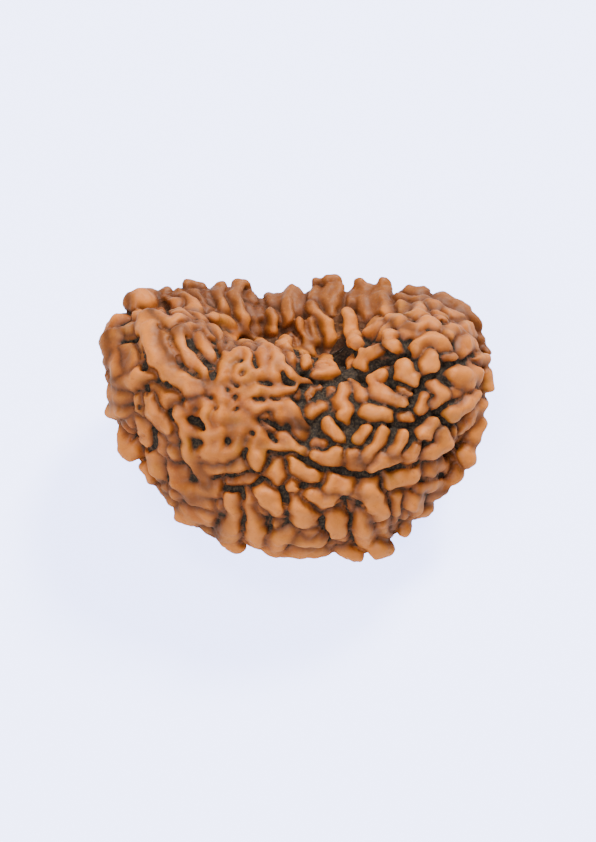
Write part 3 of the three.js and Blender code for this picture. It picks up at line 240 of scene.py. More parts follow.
LEFT_MIDDLE = [
    [0.50, 0.8, [[-12.9, 2.8], [-12.0, 2.6], [-11.2, 2.9], [-10.3, 3.0]]],
    [0.50, 0.8, [[-10.2, 2.2], [-9.6, 1.6], [-9.0, 1.9], [-8.7, 1.4]]],
    [0.40, 0.9, [[-10.6, 1.5], [-10.4, 0.6], [-9.9, -0.2], [-9.3, -0.7]]],
    [0.50, 0.6, [[-9.7, -1.5], [-9.6, -1.7]]],
    [0.35, 0.6, [[-8.8, -2.2], [-8.6, -2.9]]],
    [0.65, 0.9, [[-13.2, 1.8], [-12.6, 1.7]]],
    [0.62, 0.9, [[-13.2, 0.8], [-12.6, 0.9]]],
    [0.85, 1.0, [[-12.1, -0.8], [-12.2, -1.5], [-11.9, -2.2]]],
    [0.50, 0.9, [[-11.2, -0.6], [-11.0, -1.5]]],
    [0.75, 1.1, [[-9.9, -2.9], [-9.8, -3.8]]],
    [0.55, 0.7, [[-11.0, -3.7], [-10.5, -4.4]]],
    [0.55, 0.7, [[-9.7, -4.9], [-9.5, -5.2]]],
    [0.80, 0.8, [[-8.3, -3.6], [-8.3, -4.6], [-7.6, -5.4], [-6.6, -5.2], [-5.7, -4.9]]],
    [0.50, 0.8, [[-8.6, -5.6], [-7.4, -6.0], [-6.3, -6.1]]],
    [0.50, 0.7, [[-6.8, -4.2], [-6.0, -3.8], [-4.8, -4.0], [-3.8, -3.8]]],
    [0.42, 0.7, [[-4.6, -4.7], [-3.4, -4.6]]],
]
BELLY = [
    [0.78, 0.9, [[-8.1, -7.1], [-7.3, -7.0], [-6.4, -7.0]]],
    [0.75, 1.1, [[-4.2, -6.2], [-4.6, -7.2], [-4.6, -8.3], [-4.4, -9.3]]],
    [0.40, 0.8, [[-5.3, -6.6], [-5.0, -7.5], [-5.1, -8.6]]],
    [0.65, 1.0, [[-3.1, -6.2], [-3.1, -7.2], [-2.8, -8.2], [-2.6, -8.9]]],
    [0.75, 1.2, [[-1.9, -5.6], [-1.5, -6.3], [-1.2, -6.5]]],
    [0.45, 0.9, [[-2.3, -6.7], [-2.2, -6.8]]],
    [0.80, 1.0, [[-0.7, -8.6], [-1.4, -9.3], [-0.4, -9.6], [1.0, -9.3], [2.0, -9.4]]],
    [0.80, 0.9, [[0.5, -8.8], [1.6, -8.8]]],
    [0.75, 1.2, [[0.6, -6.7], [0.9, -7.3]]],
    [0.75, 1.0, [[3.2, -7.5], [3.3, -8.1]]],
    [0.60, 0.9, [[3.7, -9.7], [4.7, -10.1]]],
    [0.85, 1.0, [[5.1, -7.2], [5.4, -8.4], [6.2, -9.3], [6.5, -9.6]]],
    [0.70, 0.9, [[6.6, -7.6], [6.9, -8.6]]],
    [0.80, 1.2, [[5.6, -5.3], [6.1, -6.2], [6.2, -6.9]]],
    [0.50, 0.9, [[4.9, -5.6], [4.8, -5.7]]],
    [0.55, 1.1, [[7.4, -4.9], [8.1, -4.5], [8.8, -4.1]]],
    [0.60, 1.0, [[3.0, -4.9], [4.0, -5.0]]],
    [0.55, 1.0, [[1.5, -5.6], [2.4, -6.1], [3.0, -6.1]]],
    [0.60, 1.0, [[0.3, -3.7], [0.9, -4.1], [1.5, -4.2]]],
    [0.40, 0.9, [[-0.1, -5.0], [0.4, -5.0]]],
    [0.65, 1.0, [[-1.1, -3.9], [-1.1, -4.3]]],
    [0.65, 0.9, [[9.9, -3.7], [11.2, -3.6], [11.9, -2.8]]],
    [0.55, 0.9, [[9.7, -4.9], [11.0, -4.9], [12.0, -4.2], [12.4, -3.4]]],
    [0.50, 0.8, [[12.2, -2.5], [12.3, -1.8]]],
    [0.60, 0.9, [[13.0, -2.2], [13.1, -2.9]]],
    [0.75, 1.0, [[8.8, -6.1], [9.0, -6.5]]],
    [0.50, 0.8, [[8.3, -7.0], [8.2, -7.2]]],
    [0.50, 0.8, [[9.9, -6.6], [9.6, -7.0]]],
    [0.50, 0.7, [[10.4, -5.6], [11.0, -5.4]]],
    [0.35, 0.8, [[7.6, -5.9], [7.7, -7.2], [7.5, -8.4]]],
    [0.50, 0.8, [[8.3, -8.0], [8.2, -8.4]]],
]
RIDGES = [
    *LEFT_END, *LEFT_REAR, *WALL_TEETH, *RIGHT_TOP, *NEAR_RIM,
    *RIGHT_END, *LEFT_MIDDLE, *BELLY,
]
# Webs are ridges that run together with no groove between them
WEBS = [LEFT_BLOCK, MIDDLE_BLOCK, TALL_BLOCK, RIGHT_BLOCK, NET_PLATE]
WEB_FOOT = 0.7  # share of a ridge's foot that a web has
WEB_BLEND = 0.3  # softness where the ridges of a web run together

# Places where the ridges stand apart over a dark floor: u, v, radius
OPEN_PLACES = [
    [0.9, 3.0, 1.5], [2.0, 2.2, 1.5], [2.2, -0.6, 1.9], [4.2, -0.6, 1.7], [4.4, 3.4, 1.9], [6.9, 4.3, 1.8],
    [9.2, 2.6, 1.8], [11.6, 3.8, 1.5], [8.8, -0.9, 1.5], [6.2, -0.6, 1.5], [11.0, 0.4, 1.4],
]
OPEN_EDGE = 1.6  # an open place fades out at this many of its radii
OPEN_BACK = -4  # it ends at this depth
OPEN_NARROWING = 0.22  # its ridges spread this much less
OPEN_FOOT_LOSS = 0.6  # share of the foot that its ridges lack

# Each groove or pit is [radius, height of its centre above the body, points]
FACE_LINES = [
    [0.16, 0.35, [[14.3, 4.8], [13.3, 4.6], [12.4, 4.4], [11.5, 3.6], [11.0, 3.1], [10.2, 2.8],
                 [9.6, 2.3], [9.2, 1.7], [8.8, 1.0], [8.2, 0.5]]],
    [0.15, 0.35, [[12.6, 1.6], [11.9, 1.1], [11.2, 0.6], [10.4, 0.1], [9.7, -0.3], [8.8, -0.7],
                 [7.9, -0.6], [6.5, -0.6]]],
    [0.13, 0.35, [[-1.6, -2.5], [-0.4, -2.7], [0.8, -2.9]]],
    [0.19, 0.3, [[0.8, -2.9], [2.0, -3.6], [3.3, -4.0]]],
    [0.27, 0.25, [[3.3, -4.0], [5.0, -4.2], [6.6, -4.1]]],
    [0.17, 0.3, [[6.6, -4.1], [8.0, -3.8], [9.4, -3.3]]],
]
PITS = [
    [0.17, 0.45, [[-3.86, 4.2]]],
    [0.18, 0.45, [[-3.0, 4.8], [-2.6, 4.0]]],
    [0.18, 0.45, [[-3.7, 3.3]]],
    [0.17, 0.4, [[-4.1, 2.4]]],
    [0.15, 0.4, [[-2.3, 2.75], [-1.7, 2.65]]],
    [0.15, 0.38, [[-0.7, 3.4], [-0.5, 3.1]]],
    [0.2, 0.36, [[-0.35, 2.8], [-0.15, 2.6]]],
    [0.16, 0.38, [[-2.85, 1.45], [-2.6, 1.5]]],
    [0.13, 0.4, [[-2.3, 1.6], [-2.1, 1.4]]],
    [0.12, 0.45, [[-1.5, 1.5], [-1.0, 1.5]]],
    [0.2, 0.45, [[0.2, 1.4], [0.5, 1.2]]],
    [0.16, 0.45, [[-5.75, 0.8]]],
    [0.2, 0.45, [[-4.2, 0.6]]],
    [0.22, 0.4, [[-6.8, -0.2], [-6.7, -0.7]]],
    [0.14, 0.38, [[-2.3, 0.0], [-1.8, -0.1]]],
    [0.2, 0.36, [[-1.7, -0.3], [-1.3, -0.5]]],
    [0.15, 0.38, [[-1.1, -0.7], [-0.7, -0.8]]],
    [0.16, 0.45, [[-1.6, -1.3], [-1.3, -1.65]]],
    [0.13, 0.45, [[0.15, -1.5]]],
    [0.17, 0.45, [[-3.0, -1.15]]],
    [0.2, 0.4, [[-3.4, -2.5], [-3.6, -3.0]]],
    [0.12, 0.5, [[-6.9, -3.1]]],
    [0.2, 0.4, [[-5.8, 5.3], [-5.6, 4.7]]],
    [0.12, 0.5, [[-3.9, 5.6], [-2.9, 5.7]]],
    [0.25, 0.4, [[-9.2, 0.5], [-8.95, 0.0]]],
    [0.3, 0.35, [[-7.5, -0.1], [-7.0, -0.45]]],
    [0.14, 0.5, [[-7.0, -2.0]]],
    [0.18, 0.45, [[-8.3, 1.4]]],
    [0.2, 0.4, [[-4.9, -1.7]]],
    [0.15, 0.4, [[-4.9, 2.1]]],
    [0.15, 0.4, [[-6.1, 1.7]]],
    [0.16, 0.4, [[-4.3, 1.5]]],
    [0.15, 0.4, [[-5.9, 3.4]]],
    [0.15, 0.4, [[-1.8, 4.3]]],
    [0.28, 0.3, [[-9.2, 2.7]]],
    [0.25, 0.3, [[-10.9, 2.2]]],
    [0.2, 0.3, [[-10.8, 1.6]]],
    [0.25, 0.3, [[-11.4, 0.7]]],
    [0.15, 0.3, [[-7.7, -3.9]]],
    [0.2, 0.45, [[-10.1, 6.7], [-9.2, 6.5]]],
    [0.25, 0.4, [[-12.7, 5.7], [-11.6, 6.0]]],
    [0.25, 0.35, [[-11.1, 5.1], [-11.1, 3.6]]],
    [0.2, 0.35, [[-9.66, 9.0], [-9.4, 7.6]]],
    [0.2, 0.4, [[-9.1, 5.9], [-8.9, 5.4], [-8.7, 4.5], [-8.3, 3.8], [-7.5, 3.3], [-6.9, 3.0]]],
    [0.24, 0.35, [[-7.9, 5.7], [-7.5, 4.9], [-6.9, 4.3], [-6.3, 3.9], [-5.9, 3.2]]],
    [0.2, 0.45, [[-12.4, 7.0]]],
    [0.15, 0.45, [[-12.0, -1.7], [-11.2, -1.1]]],
    [0.25, 0.3, [[-10.5, -0.9], [-10.3, -1.9], [-10.6, -2.3]]],
    [0.28, 0.3, [[-9.4, -4.5]]],
    [0.16, 0.35, [[-6.0, -4.4], [-5.0, -4.35], [-4.6, -4.6], [-4.0, -4.4], [-3.3, -4.1], [-2.6, -4.1]]],
    [0.28, 0.3, [[1.0, 3.2]]],
    [0.28, 0.3, [[3.5, 4.1]]],
    [0.28, 0.3, [[6.3, 4.0], [7.9, 4.4], [8.6, 4.9]]],
    [0.2, 0.45, [[7.65, 6.6]]],
    [0.28, 0.35, [[8.8, 5.7]]],
    [0.2, 0.4, [[11.2, 7.2], [11.6, 6.8]]],
    [0.15, 0.4, [[10.3, 7.85]]],
    [0.15, 0.45, [[10.6, 1.55]]],
    [0.15, 0.4, [[12.6, -1.85], [13.1, -2.1]]],
    [0.2, 0.35, [[9.4, -4.5], [10.4, -4.6], [11.3, -4.4]]],
    [0.25, 0.3, [[-0.6, -5.3], [-0.4, -6.6], [-0.5, -7.2]]],
    [0.25, 0.3, [[-4.9, -5.4], [-3.7, -5.6], [-3.5, -6.1]]],
    [0.15, 0.4, [[-3.75, -6.9], [-3.7, -8.5]]],
    [0.15, 0.4, [[-1.7, -7.6], [-1.75, -8.5]]],
    [0.2, 0.35, [[-2.4, -4.6], [-2.9, -5.2]]],
    [0.2, 0.35, [[2.0, -7.5], [2.3, -8.4], [3.0, -9.1], [3.0, -9.5]]],
    [0.15, 0.4, [[4.1, -6.3], [4.2, -7.5], [4.3, -8.6], [5.0, -9.7], [5.7, -10.3]]],
    [0.18, 0.35, [[3.3, -6.3], [4.2, -5.95], [4.9, -6.2], [5.5, -6.6]]],
    [0.2, 0.35, [[0.4, -5.0], [1.9, -4.9]]],
]
CUTS = [*FACE_LINES, *PITS]

RIDGE_SPREAD = 1.35  # ridges bulge this much wider than their crests
RIDGE_SWELL = 0.04  # and this much more on each side
RIDGE_REACH = 0.9  # how far round a ridge it is looked up
FAR = 9.0  # distance given where no ridge is near
# How far a ridge strays from its plain line, and the rate in radians per millimetre
WOBBLES = ((0.08, 2.1), (0.05, 4.7))
JOIN_FLOOR = 0.02  # softness where two ridges stay apart
CUT_DRAW = 2.6  # cuts are this many times deeper than wide
DRAPE_STEP = 0.7  # longest step of a crest along the body

# Lobes on an even spiral, drawn out towards the valley: count, radius, length, rise
BACK_LOBES = (330, (0.85, 1.15), (0.5, 1.7), 0.85)
GAP_LOBES = (1300, (0.4, 0.6), (0.2, 0.8), 0.55)
BACK_LIMIT = -0.12  # the back is where the body faces away from the eye by more than this
GAP_ROOM = 0.3  # a small lobe goes wherever the listed ridges leave at least this much room
SPIRAL_CENTRE = np.array([0, -1, -1.5])
SPIRAL_STRETCH = (1.5, 1, 0.75)  # the spiral is as wide and as flat as the seed
STRAY = 1.3  # radians over which the lobes' directions vary

# The skin of triangles
START_BALL = (17, 13, 10)
START_CENTRE = (0, 0, -0.6)
START_SUBDIVISIONS = 3  # 320 triangles
LOOSE_FIT = 2.2  # the coarse skins stay this far outside the smooth body
LOOSE_ROUNDS = 24
LOOSE_EDGES = (9.0, 2.0, 1.1, 0.55)  # edges longer than this are split before each of the coarse skins
# The finer skins: edges longer than this are split, how far the skin stays outside the ridges, its rounds
STAGES = ((0.8, 0.9, 8), (0.75, 0.4, 8), (0.7, 0, 12), (0.7, 0, 12))
FINE_STAGES = ((0.36, 0, 8), (0.26, 0, 8))
STEP = 0.22  # longest move in a round
SPREAD = 0.45  # how strongly a round evens out the triangles
LOOK_ROUNDS = 4  # rounds between two looks for the ridges near each point
LAST_ROUNDS = 3  # rounds that only draw the points onto the surface
NUDGE = 0.01  # step over which a slope is measured

SEAM_WIDTH = 0.9  # the shade beside a groove ends where one ridge is this much nearer than the next
HOLLOW_ROUNDS = 24  # rounds of smoothing that a hollow is measured against
CREASE_ROUNDS = 4
WRINKLE_RATES = ((1.5, 1.0), (3.1, 0.5))  # rate per millimetre and share of the height


def colour(red, green, blue):
    """A linear colour from the three numbers that a colour picker shows."""
    return tuple(((part / 255 + 0.055) / 1.055) ** 2.4 for part in (red, green, blue))


class SeedShape(bpy.types.PropertyGroup):
    groove_depth: bpy.props.FloatProperty(
        name="Groove depth", description="Depth of the groove between two ridges, in millimetres",
        default=0.42, min=0.0, max=1.0)
    groove_width: bpy.props.FloatProperty(
        name="Groove width", description="How far a ridge rounds off beside a groove, in millimetres",
        default=0.85, min=0.1, max=2.0)
    join_blend: bpy.props.FloatProperty(
        name="Join blend", description="Softness where two ridges run together, in millimetres",
        default=0.5, min=0.0, max=1.5)
    foot_blend: bpy.props.FloatProperty(
        name="Foot blend", description="Softness where a ridge meets its foot, in millimetres",
        default=0.35, min=0.02, max=1.0)
    foot_height: bpy.props.FloatProperty(
        name="Foot height", description="How high the foot of a ridge stands above the body, in millimetres",
        default=0.5, min=0.0, max=1.5)
    foot_width: bpy.props.FloatProperty(
        name="Foot width", description="How far the foot rounds off beside a groove, in millimetres",
        default=0.7, min=0.1, max=2.0)
    foot_reach: bpy.props.FloatProperty(
        name="Foot reach", description="How far the foot spreads from a ridge, in millimetres",
        default=0.9, min=0.1, max=3.0)
    cut_blend: bpy.props.FloatProperty(
        name="Cut blend", description="Softness of the lip of a groove or pit, in millimetres",
        default=0.22, min=0.02, max=1.0)
    wrinkle: bpy.props.FloatProperty(
        name="Wrinkle height", description="Height of the small swellings on the ridges, in millimetres",
        default=0.09, min=0.0, max=0.3)


class SeedColours(bpy.types.PropertyGroup):
    lobe: bpy.props.FloatVectorProperty(
        name="Lobe", description="Main colour of the ridges", subtype="COLOR", default=colour(180, 100, 30))
    # Crest: painted light, the tops of the ridges made lighter than their sides
    crest: bpy.props.FloatVectorProperty(
        name="Crest", description="Rubbed tops of the ridges", subtype="COLOR", default=colour(212, 126, 50))
    rust: bpy.props.FloatVectorProperty(
        name="Rust", description="Reddish patches", subtype="COLOR", default=colour(138, 62, 20))
    ochre: bpy.props.FloatVectorProperty(
        name="Ochre", description="Yellowish patches", subtype="COLOR", default=colour(166, 106, 30))
    # Flank: painted shade on the lower sides of the ridges and beside the grooves
    flank_shade: bpy.props.FloatVectorProperty(
        name="Flank", description="Lower sides of the ridges", subtype="COLOR", default=colour(98, 50, 20))
    wall: bpy.props.FloatVectorProperty(
        name="Wall", description="Wall behind the valley", subtype="COLOR", default=colour(124, 70, 28))
    # Groove: the grooves' own dark floor, also used as painted shade along the seams
    groove: bpy.props.FloatVectorProperty(
        name="Groove", description="Floor of the grooves", subtype="COLOR", default=colour(30, 21, 14))
    dust: bpy.props.FloatVectorProperty(
        name="Dust", description="Dusty fibre in the grooves", subtype="COLOR", default=colour(62, 50, 36))


class StudioSettings(bpy.types.PropertyGroup):
    elevation: bpy.props.FloatProperty(
        name="Elevation", description="Camera's angle above the table", default=LEAN, subtype="ANGLE")
    focal_length: bpy.props.FloatProperty(
        name="Focal length", description="Camera's focal length in millimetres", default=200.0, min=20.0)
    view_height: bpy.props.FloatProperty(
        name="View height", description="Height of the view at the seed", default=63.6 * MM, unit="LENGTH")
    table: bpy.props.FloatVectorProperty(
        name="Table", description="Colour of the table", subtype="COLOR", default=colour(240, 240, 240))
    glow: bpy.props.FloatVectorProperty(
        name="Glow", description="Light that the table itself sends to the camera", default=(2.4, 2.8, 5.4),
        min=0.0, soft_max=8.0)


# Shape

def unit(vectors):
    size = np.linalg.norm(vectors, axis=-1, keepdims=True)
    return vectors / np.maximum(size, 1e-9)


def soft_min(a, b, blend):
    h = np.maximum(blend - np.abs(a - b), 0) / blend
    return np.minimum(a, b) - h * h * blend * 0.25


def egg_distance(points, centre, half):
    q = (points - np.array(centre)) / np.array(half)
    near = np.sqrt((q * q).sum(-1))
    slope = np.sqrt(((q / np.array(half)) ** 2).sum(-1))
    return near * (near - 1) / (slope + 1e-9)


def body_distance(points):
    distance = egg_distance(points, *BODY[0])
    for egg in BODY[1:]:
        distance = soft_min(distance, egg_distance(points, *egg), BODY_BLEND)
    return distance


def drop(u, v, height):
    """Where the line of sight through u, v first comes to the given height above the body."""
    depths = np.arange(8, -9, -0.04)
    shrink = 1 - depths / EYE
    line = np.stack([u * shrink, v * shrink, depths], -1)
    distance = body_distance(line)
    reached = distance < height
    return line[reached.argmax() if reached.any() else distance.argmin()]


def drape(line, height):
    """The points of a line drawn on the view, in short steps, dropped to the given height above the body."""
    marks = [(u, v, sum(w)) for u, v, *w in line]
    steps = [marks[0]]
    for a, b in zip(marks[:-1], marks[1:]):
        count = math.ceil(math.dist(a[:2], b[:2]) / DRAPE_STEP)
        steps += [tuple(p + (q - p) * k / count for p, q in zip(a, b)) for k in range(1, count + 1)]
    return [drop(u, v, height) + np.array([0, 0, w]) for u, v, w in steps]


class Lobe:
    """One or more round-ended lines that run together: a list of (radius, points)."""

    def __init__(self, lines, margin, foot=1):
        self.foot = foot
        self.lines = [(radius, np.array(line if len(line) > 1 else list(line) * 2)) for radius, line in lines]
        self.low = np.min([line.min(0) - radius for radius, line in self.lines], axis=0) - margin
        self.high = np.max([line.max(0) + radius for radius, line in self.lines], axis=0) + margin

    def near(self, points):
        return np.flatnonzero(((points > self.low) & (points < self.high)).all(-1))

    def distance(self, points):
        nearest = np.full(len(points), FAR)
        for radius, line in self.lines:
            crest = np.full(len(points), np.inf)
            for a, b in zip(line[:-1], line[1:]):
                ab = b - a
                t = np.clip((points - a) @ ab / (ab @ ab + 1e-12), 0, 1)
                away = np.linalg.norm(points - a - t[:, None] * ab, axis=-1) - radius
                crest = np.minimum(crest, away)
            nearest = soft_min(nearest, crest, WEB_BLEND)
        return nearest


def openness(points):
    """How far the ridges at a point stand apart, from 0 to 1."""
    share = np.zeros(len(points))
    for u, v, radius in OPEN_PLACES:
        away = np.hypot(points[:, 0] - u, points[:, 1] - v)
        share = np.maximum(share, np.clip(OPEN_EDGE - away / radius, 0, 1) * (points[:, 2] > OPEN_BACK))
    return share


def ridge_lines(crest, rise, *lines):
    middle = np.mean([np.mean([point[:2] for point in line], axis=0) for line in lines], axis=0)
    spread = RIDGE_SPREAD - OPEN_NARROWING * openness(np.array([[*middle, 0.0]]))[0]
    radius = crest * spread + RIDGE_SWELL
    return [(radius, drape(line, rise - radius)) for line in lines]


def ridge_lobe(*ridge):
    return Lobe(ridge_lines(*ridge), RIDGE_REACH)


def web_lobe(ridges):
    return Lobe([line for ridge in ridges for line in ridge_lines(*ridge)], RIDGE_REACH, WEB_FOOT)


class Cut(Lobe):
    """A groove or pit: a lobe drawn out along the body's normal, so that it cuts down from the crests."""

    def __init__(self, radius, height, *lines):
        super().__init__([(radius, drape(line, height)) for line in lines], radius * CUT_DRAW)
        middle = np.mean([line.mean(0) for radius, line in self.lines], axis=0)[None]
        self.out = unit(slope_at(body_distance, middle, body_distance(middle)))[0]

    def distance(self, points):
        nearest = np.full(len(points), np.inf)
        for radius, line in self.lines:
            for a, b in zip(line[:-1], line[1:]):
                ab = b - a
                t = np.clip((points - a) @ ab / (ab @ ab + 1e-12), 0, 1)
                away = points - a - t[:, None] * ab
                rise = away @ self.out
                side = away - rise[:, None] * self.out
                flat = np.sqrt((side * side).sum(-1) + (rise / CUT_DRAW) ** 2) - radius
                nearest = np.minimum(nearest, flat)
        return nearest


def scatter(i, salt):
    """A repeatable number from 0 to 1 for each whole number."""
    value = math.sin(i * 12.9898 + salt * 78.233) * 43758.5453
    return value - math.floor(value)


def between(ends, part):
    return ends[0] + (ends[1] - ends[0]) * part


def slope_at(field, points, here):
    steps = [(field(points + NUDGE * axis) - here) / NUDGE for axis in np.eye(3)]
    return np.stack(steps, -1)


def spiral_lobes(pattern, wanted):
    """Lobes on an even spiral round the body, kept where wanted says so of their spot and its normal."""
    count, radii, lengths, rise = pattern
    lobes = []
    reach = np.arange(17, 0, -0.05)
    for i in range(count):
        height = 1 - (2 * i + 1) / count
        turn = i * math.pi * (3 - math.sqrt(5))
        wide = math.sqrt(1 - height * height)
        ray = unit(np.array([wide * math.cos(turn), height, wide * math.sin(turn)]) * SPIRAL_STRETCH)
        line = SPIRAL_CENTRE + ray * reach[:, None]
        spot = line[(body_distance(line) < 0).argmax()][None]
        out = unit(slope_at(body_distance, spot, body_distance(spot)))[0]
        if not wanted(spot + out * rise * 0.5, out):
            continue
        radius = between(radii, scatter(i, 1))
        half = between(lengths, scatter(i, 2)) / 2
        stray = (scatter(i, 3) - 0.5) * STRAY
        up = np.array([math.sin(stray), math.cos(stray), 0])
        along = unit(up - out * (up @ out))
        middle = spot[0] + out * (rise * (0.8 + 0.3 * scatter(i, 4)) - radius)
        lobes.append(Lobe([(radius, [middle - along * half, middle + along * half])], RIDGE_REACH))
    return lobes


def joining(points):
    """How far neighbouring lobes run together, from 0 to 1: it changes slowly over the seed."""
    u, v, w = points.T
    drift = np.sin(1.1 * u + 0.7 * v + 0.6) + np.sin(0.5 * u - 1.2 * v + 0.9 * w + 2.0)
    drift += np.sin(1.3 * w - 0.6 * u + 4.0)
    return np.clip(0.5 + 0.45 * drift, 0, 1)


class SeedField:
    """Distance to the seed's surface, below zero inside."""

    def __init__(self, shape):
        self.shape = shape
        listed = [ridge_lobe(*ridge) for ridge in RIDGES] + [web_lobe(web) for web in WEBS]

        def in_gap(spot, out):
            if out[2] < BACK_LIMIT or openness(spot)[0] >= 0.5:
                return False
            return min(lobe.distance(spot)[0] for lobe in listed) > GAP_ROOM

        back = spiral_lobes(BACK_LOBES, lambda spot, out: out[2] < BACK_LIMIT)
        self.ridges = listed + back + spiral_lobes(GAP_LOBES, in_gap)
        self.cuts = [Cut(*cut) for cut in CUTS]

    def look_round(self, points):
        """Notes which lobes are near which points, so that later calls on them are quick."""
        self.near_ridges = [(lobe, near) for lobe in self.ridges if len(near := lobe.near(points))]
        self.near_cuts = [(lobe, near) for lobe in self.cuts if len(near := lobe.near(points))]

    def bend(self, points):
        bent = points.copy()
        for size, rate in WOBBLES:
            u, v, w = points.T * rate
            bent[:, 0] += size * (np.sin(v + 1.3) + np.sin(0.7 * w + 0.4))
            bent[:, 1] += size * (np.sin(w + 2.1) + np.sin(0.8 * u + 5.2))
            bent[:, 2] += size * (np.sin(u + 4.4) + np.sin(0.9 * v + 3.3))
        return bent

    def nearest_two(self, bent):
        """Distances to the nearest lobe and to the next one, and how much of a foot the nearest has."""
        first = np.full(len(bent), FAR)
        second = first.copy()
        foot = np.zeros(len(bent))
        for lobe, near in self.near_ridges:
            away = lobe.distance(bent[near])
            before = first[near]
            second[near] = np.minimum(second[near], np.maximum(before, away))
            foot[near] = np.where(away < before, lobe.foot, foot[near])
            first[near] = np.minimum(before, away)
        return first, second, foot

    def __call__(self, points):
        shape = self.shape
        bent = self.bend(points)
        first, second, foot = self.nearest_two(bent)
        gap = second - first
        seam = np.clip(1 - gap / shape.groove_width, 0, 1)
        side = np.clip(gap / shape.foot_width, 0, 1)
        foot *= np.sqrt(side * (2 - side)) * np.clip(1.5 * (1 - first / shape.foot_reach), 0, 1)
        foot *= 1 - OPEN_FOOT_LOSS * openness(points)
        join = joining(bent)
        ridged = soft_min(first, second, shape.join_blend * join + JOIN_FLOOR)
        ridged += shape.groove_depth * seam ** 2 * (1 - join)
        distance = soft_min(body_distance(bent) - shape.foot_height * foot, ridged, shape.foot_blend)
        for lobe, near in self.near_cuts:
            distance[near] = -soft_min(-distance[near], lobe.distance(bent[near]), shape.cut_blend)
        return np.maximum(distance, REST_LEVEL - points @ UP)


class Skin:
    """A ball of triangles that is drawn onto a field."""

    def __init__(self):
        self.bm = bmesh.new()
        bmesh.ops.create_icosphere(self.bm, subdivisions=START_SUBDIVISIONS, radius=1)
        bmesh.ops.scale(self.bm, vec=START_BALL, verts=self.bm.verts)
        bmesh.ops.translate(self.bm, vec=START_CENTRE, verts=self.bm.verts)
        self.read()

    def read(self):
        self.bm.verts.index_update()
        self.points = np.array([v.co for v in self.bm.verts])
        self.edges = np.array([[v.index for v in e.verts] for e in self.bm.edges])

    def write(self):
        for vert, point in zip(self.bm.verts, self.points):
            vert.co = point

    def split(self, longest):
        """Halves every edge that is longer."""
        self.write()
        edges = [edge for edge in self.bm.edges if edge.calc_length() > longest]
        bmesh.ops.subdivide_edges(self.bm, edges=edges, cuts=1, use_grid_fill=True)
        bmesh.ops.triangulate(self.bm, faces=[face for face in self.bm.faces if len(face.verts) > 3])
        self.read()

    def add_up(self, values_from, values_to):
        """For each point, the sum over its edges of the value that the edge gives that end."""
        a, b = self.edges.T
        count = len(self.points)
        return np.bincount(a, values_from, count) + np.bincount(b, values_to, count)

    def mean_pull(self):
        """How far each point is from the middle of its neighbours, longer edges counting more."""
        a, b = self.edges.T
        gap = self.points[b] - self.points[a]
        weight = (gap * gap).sum(-1)
        total = self.add_up(weight, weight)
        pull = [self.add_up(gap[:, k] * weight, -gap[:, k] * weight) for k in range(3)]
        return np.stack(pull, -1) / total[:, None]

    def settle(self, field, rounds, spread):
        """Draws the points onto the field, evens out the triangles and gives the outward directions."""
        for _ in range(rounds):
            here = field(self.points)
            slope = slope_at(field, self.points, here)
            steep = np.linalg.norm(slope, axis=-1)
            out = slope / np.maximum(steep, 1e-9)[:, None]
            step = np.clip(here / np.maximum(steep, 0.5), -STEP, STEP)
            pull = self.mean_pull()
            lift = (pull * out).sum(-1)
            self.points += spread * (pull - lift[:, None] * out) - step[:, None] * out
        return out


def hollow(skin, out, rounds):
    """How much lower a point lies than the skin around it, in millimetres."""
    smooth = skin.points.copy()
    ones = np.ones(len(skin.edges))
    count = skin.add_up(ones, ones)
    a, b = skin.edges.T
    for _ in range(rounds):
        mean = np.stack([skin.add_up(smooth[b, k], smooth[a, k]) for k in range(3)], -1)
        smooth = 0.4 * smooth + 0.6 * mean / count[:, None]
    return ((smooth - skin.points) * out).sum(-1)


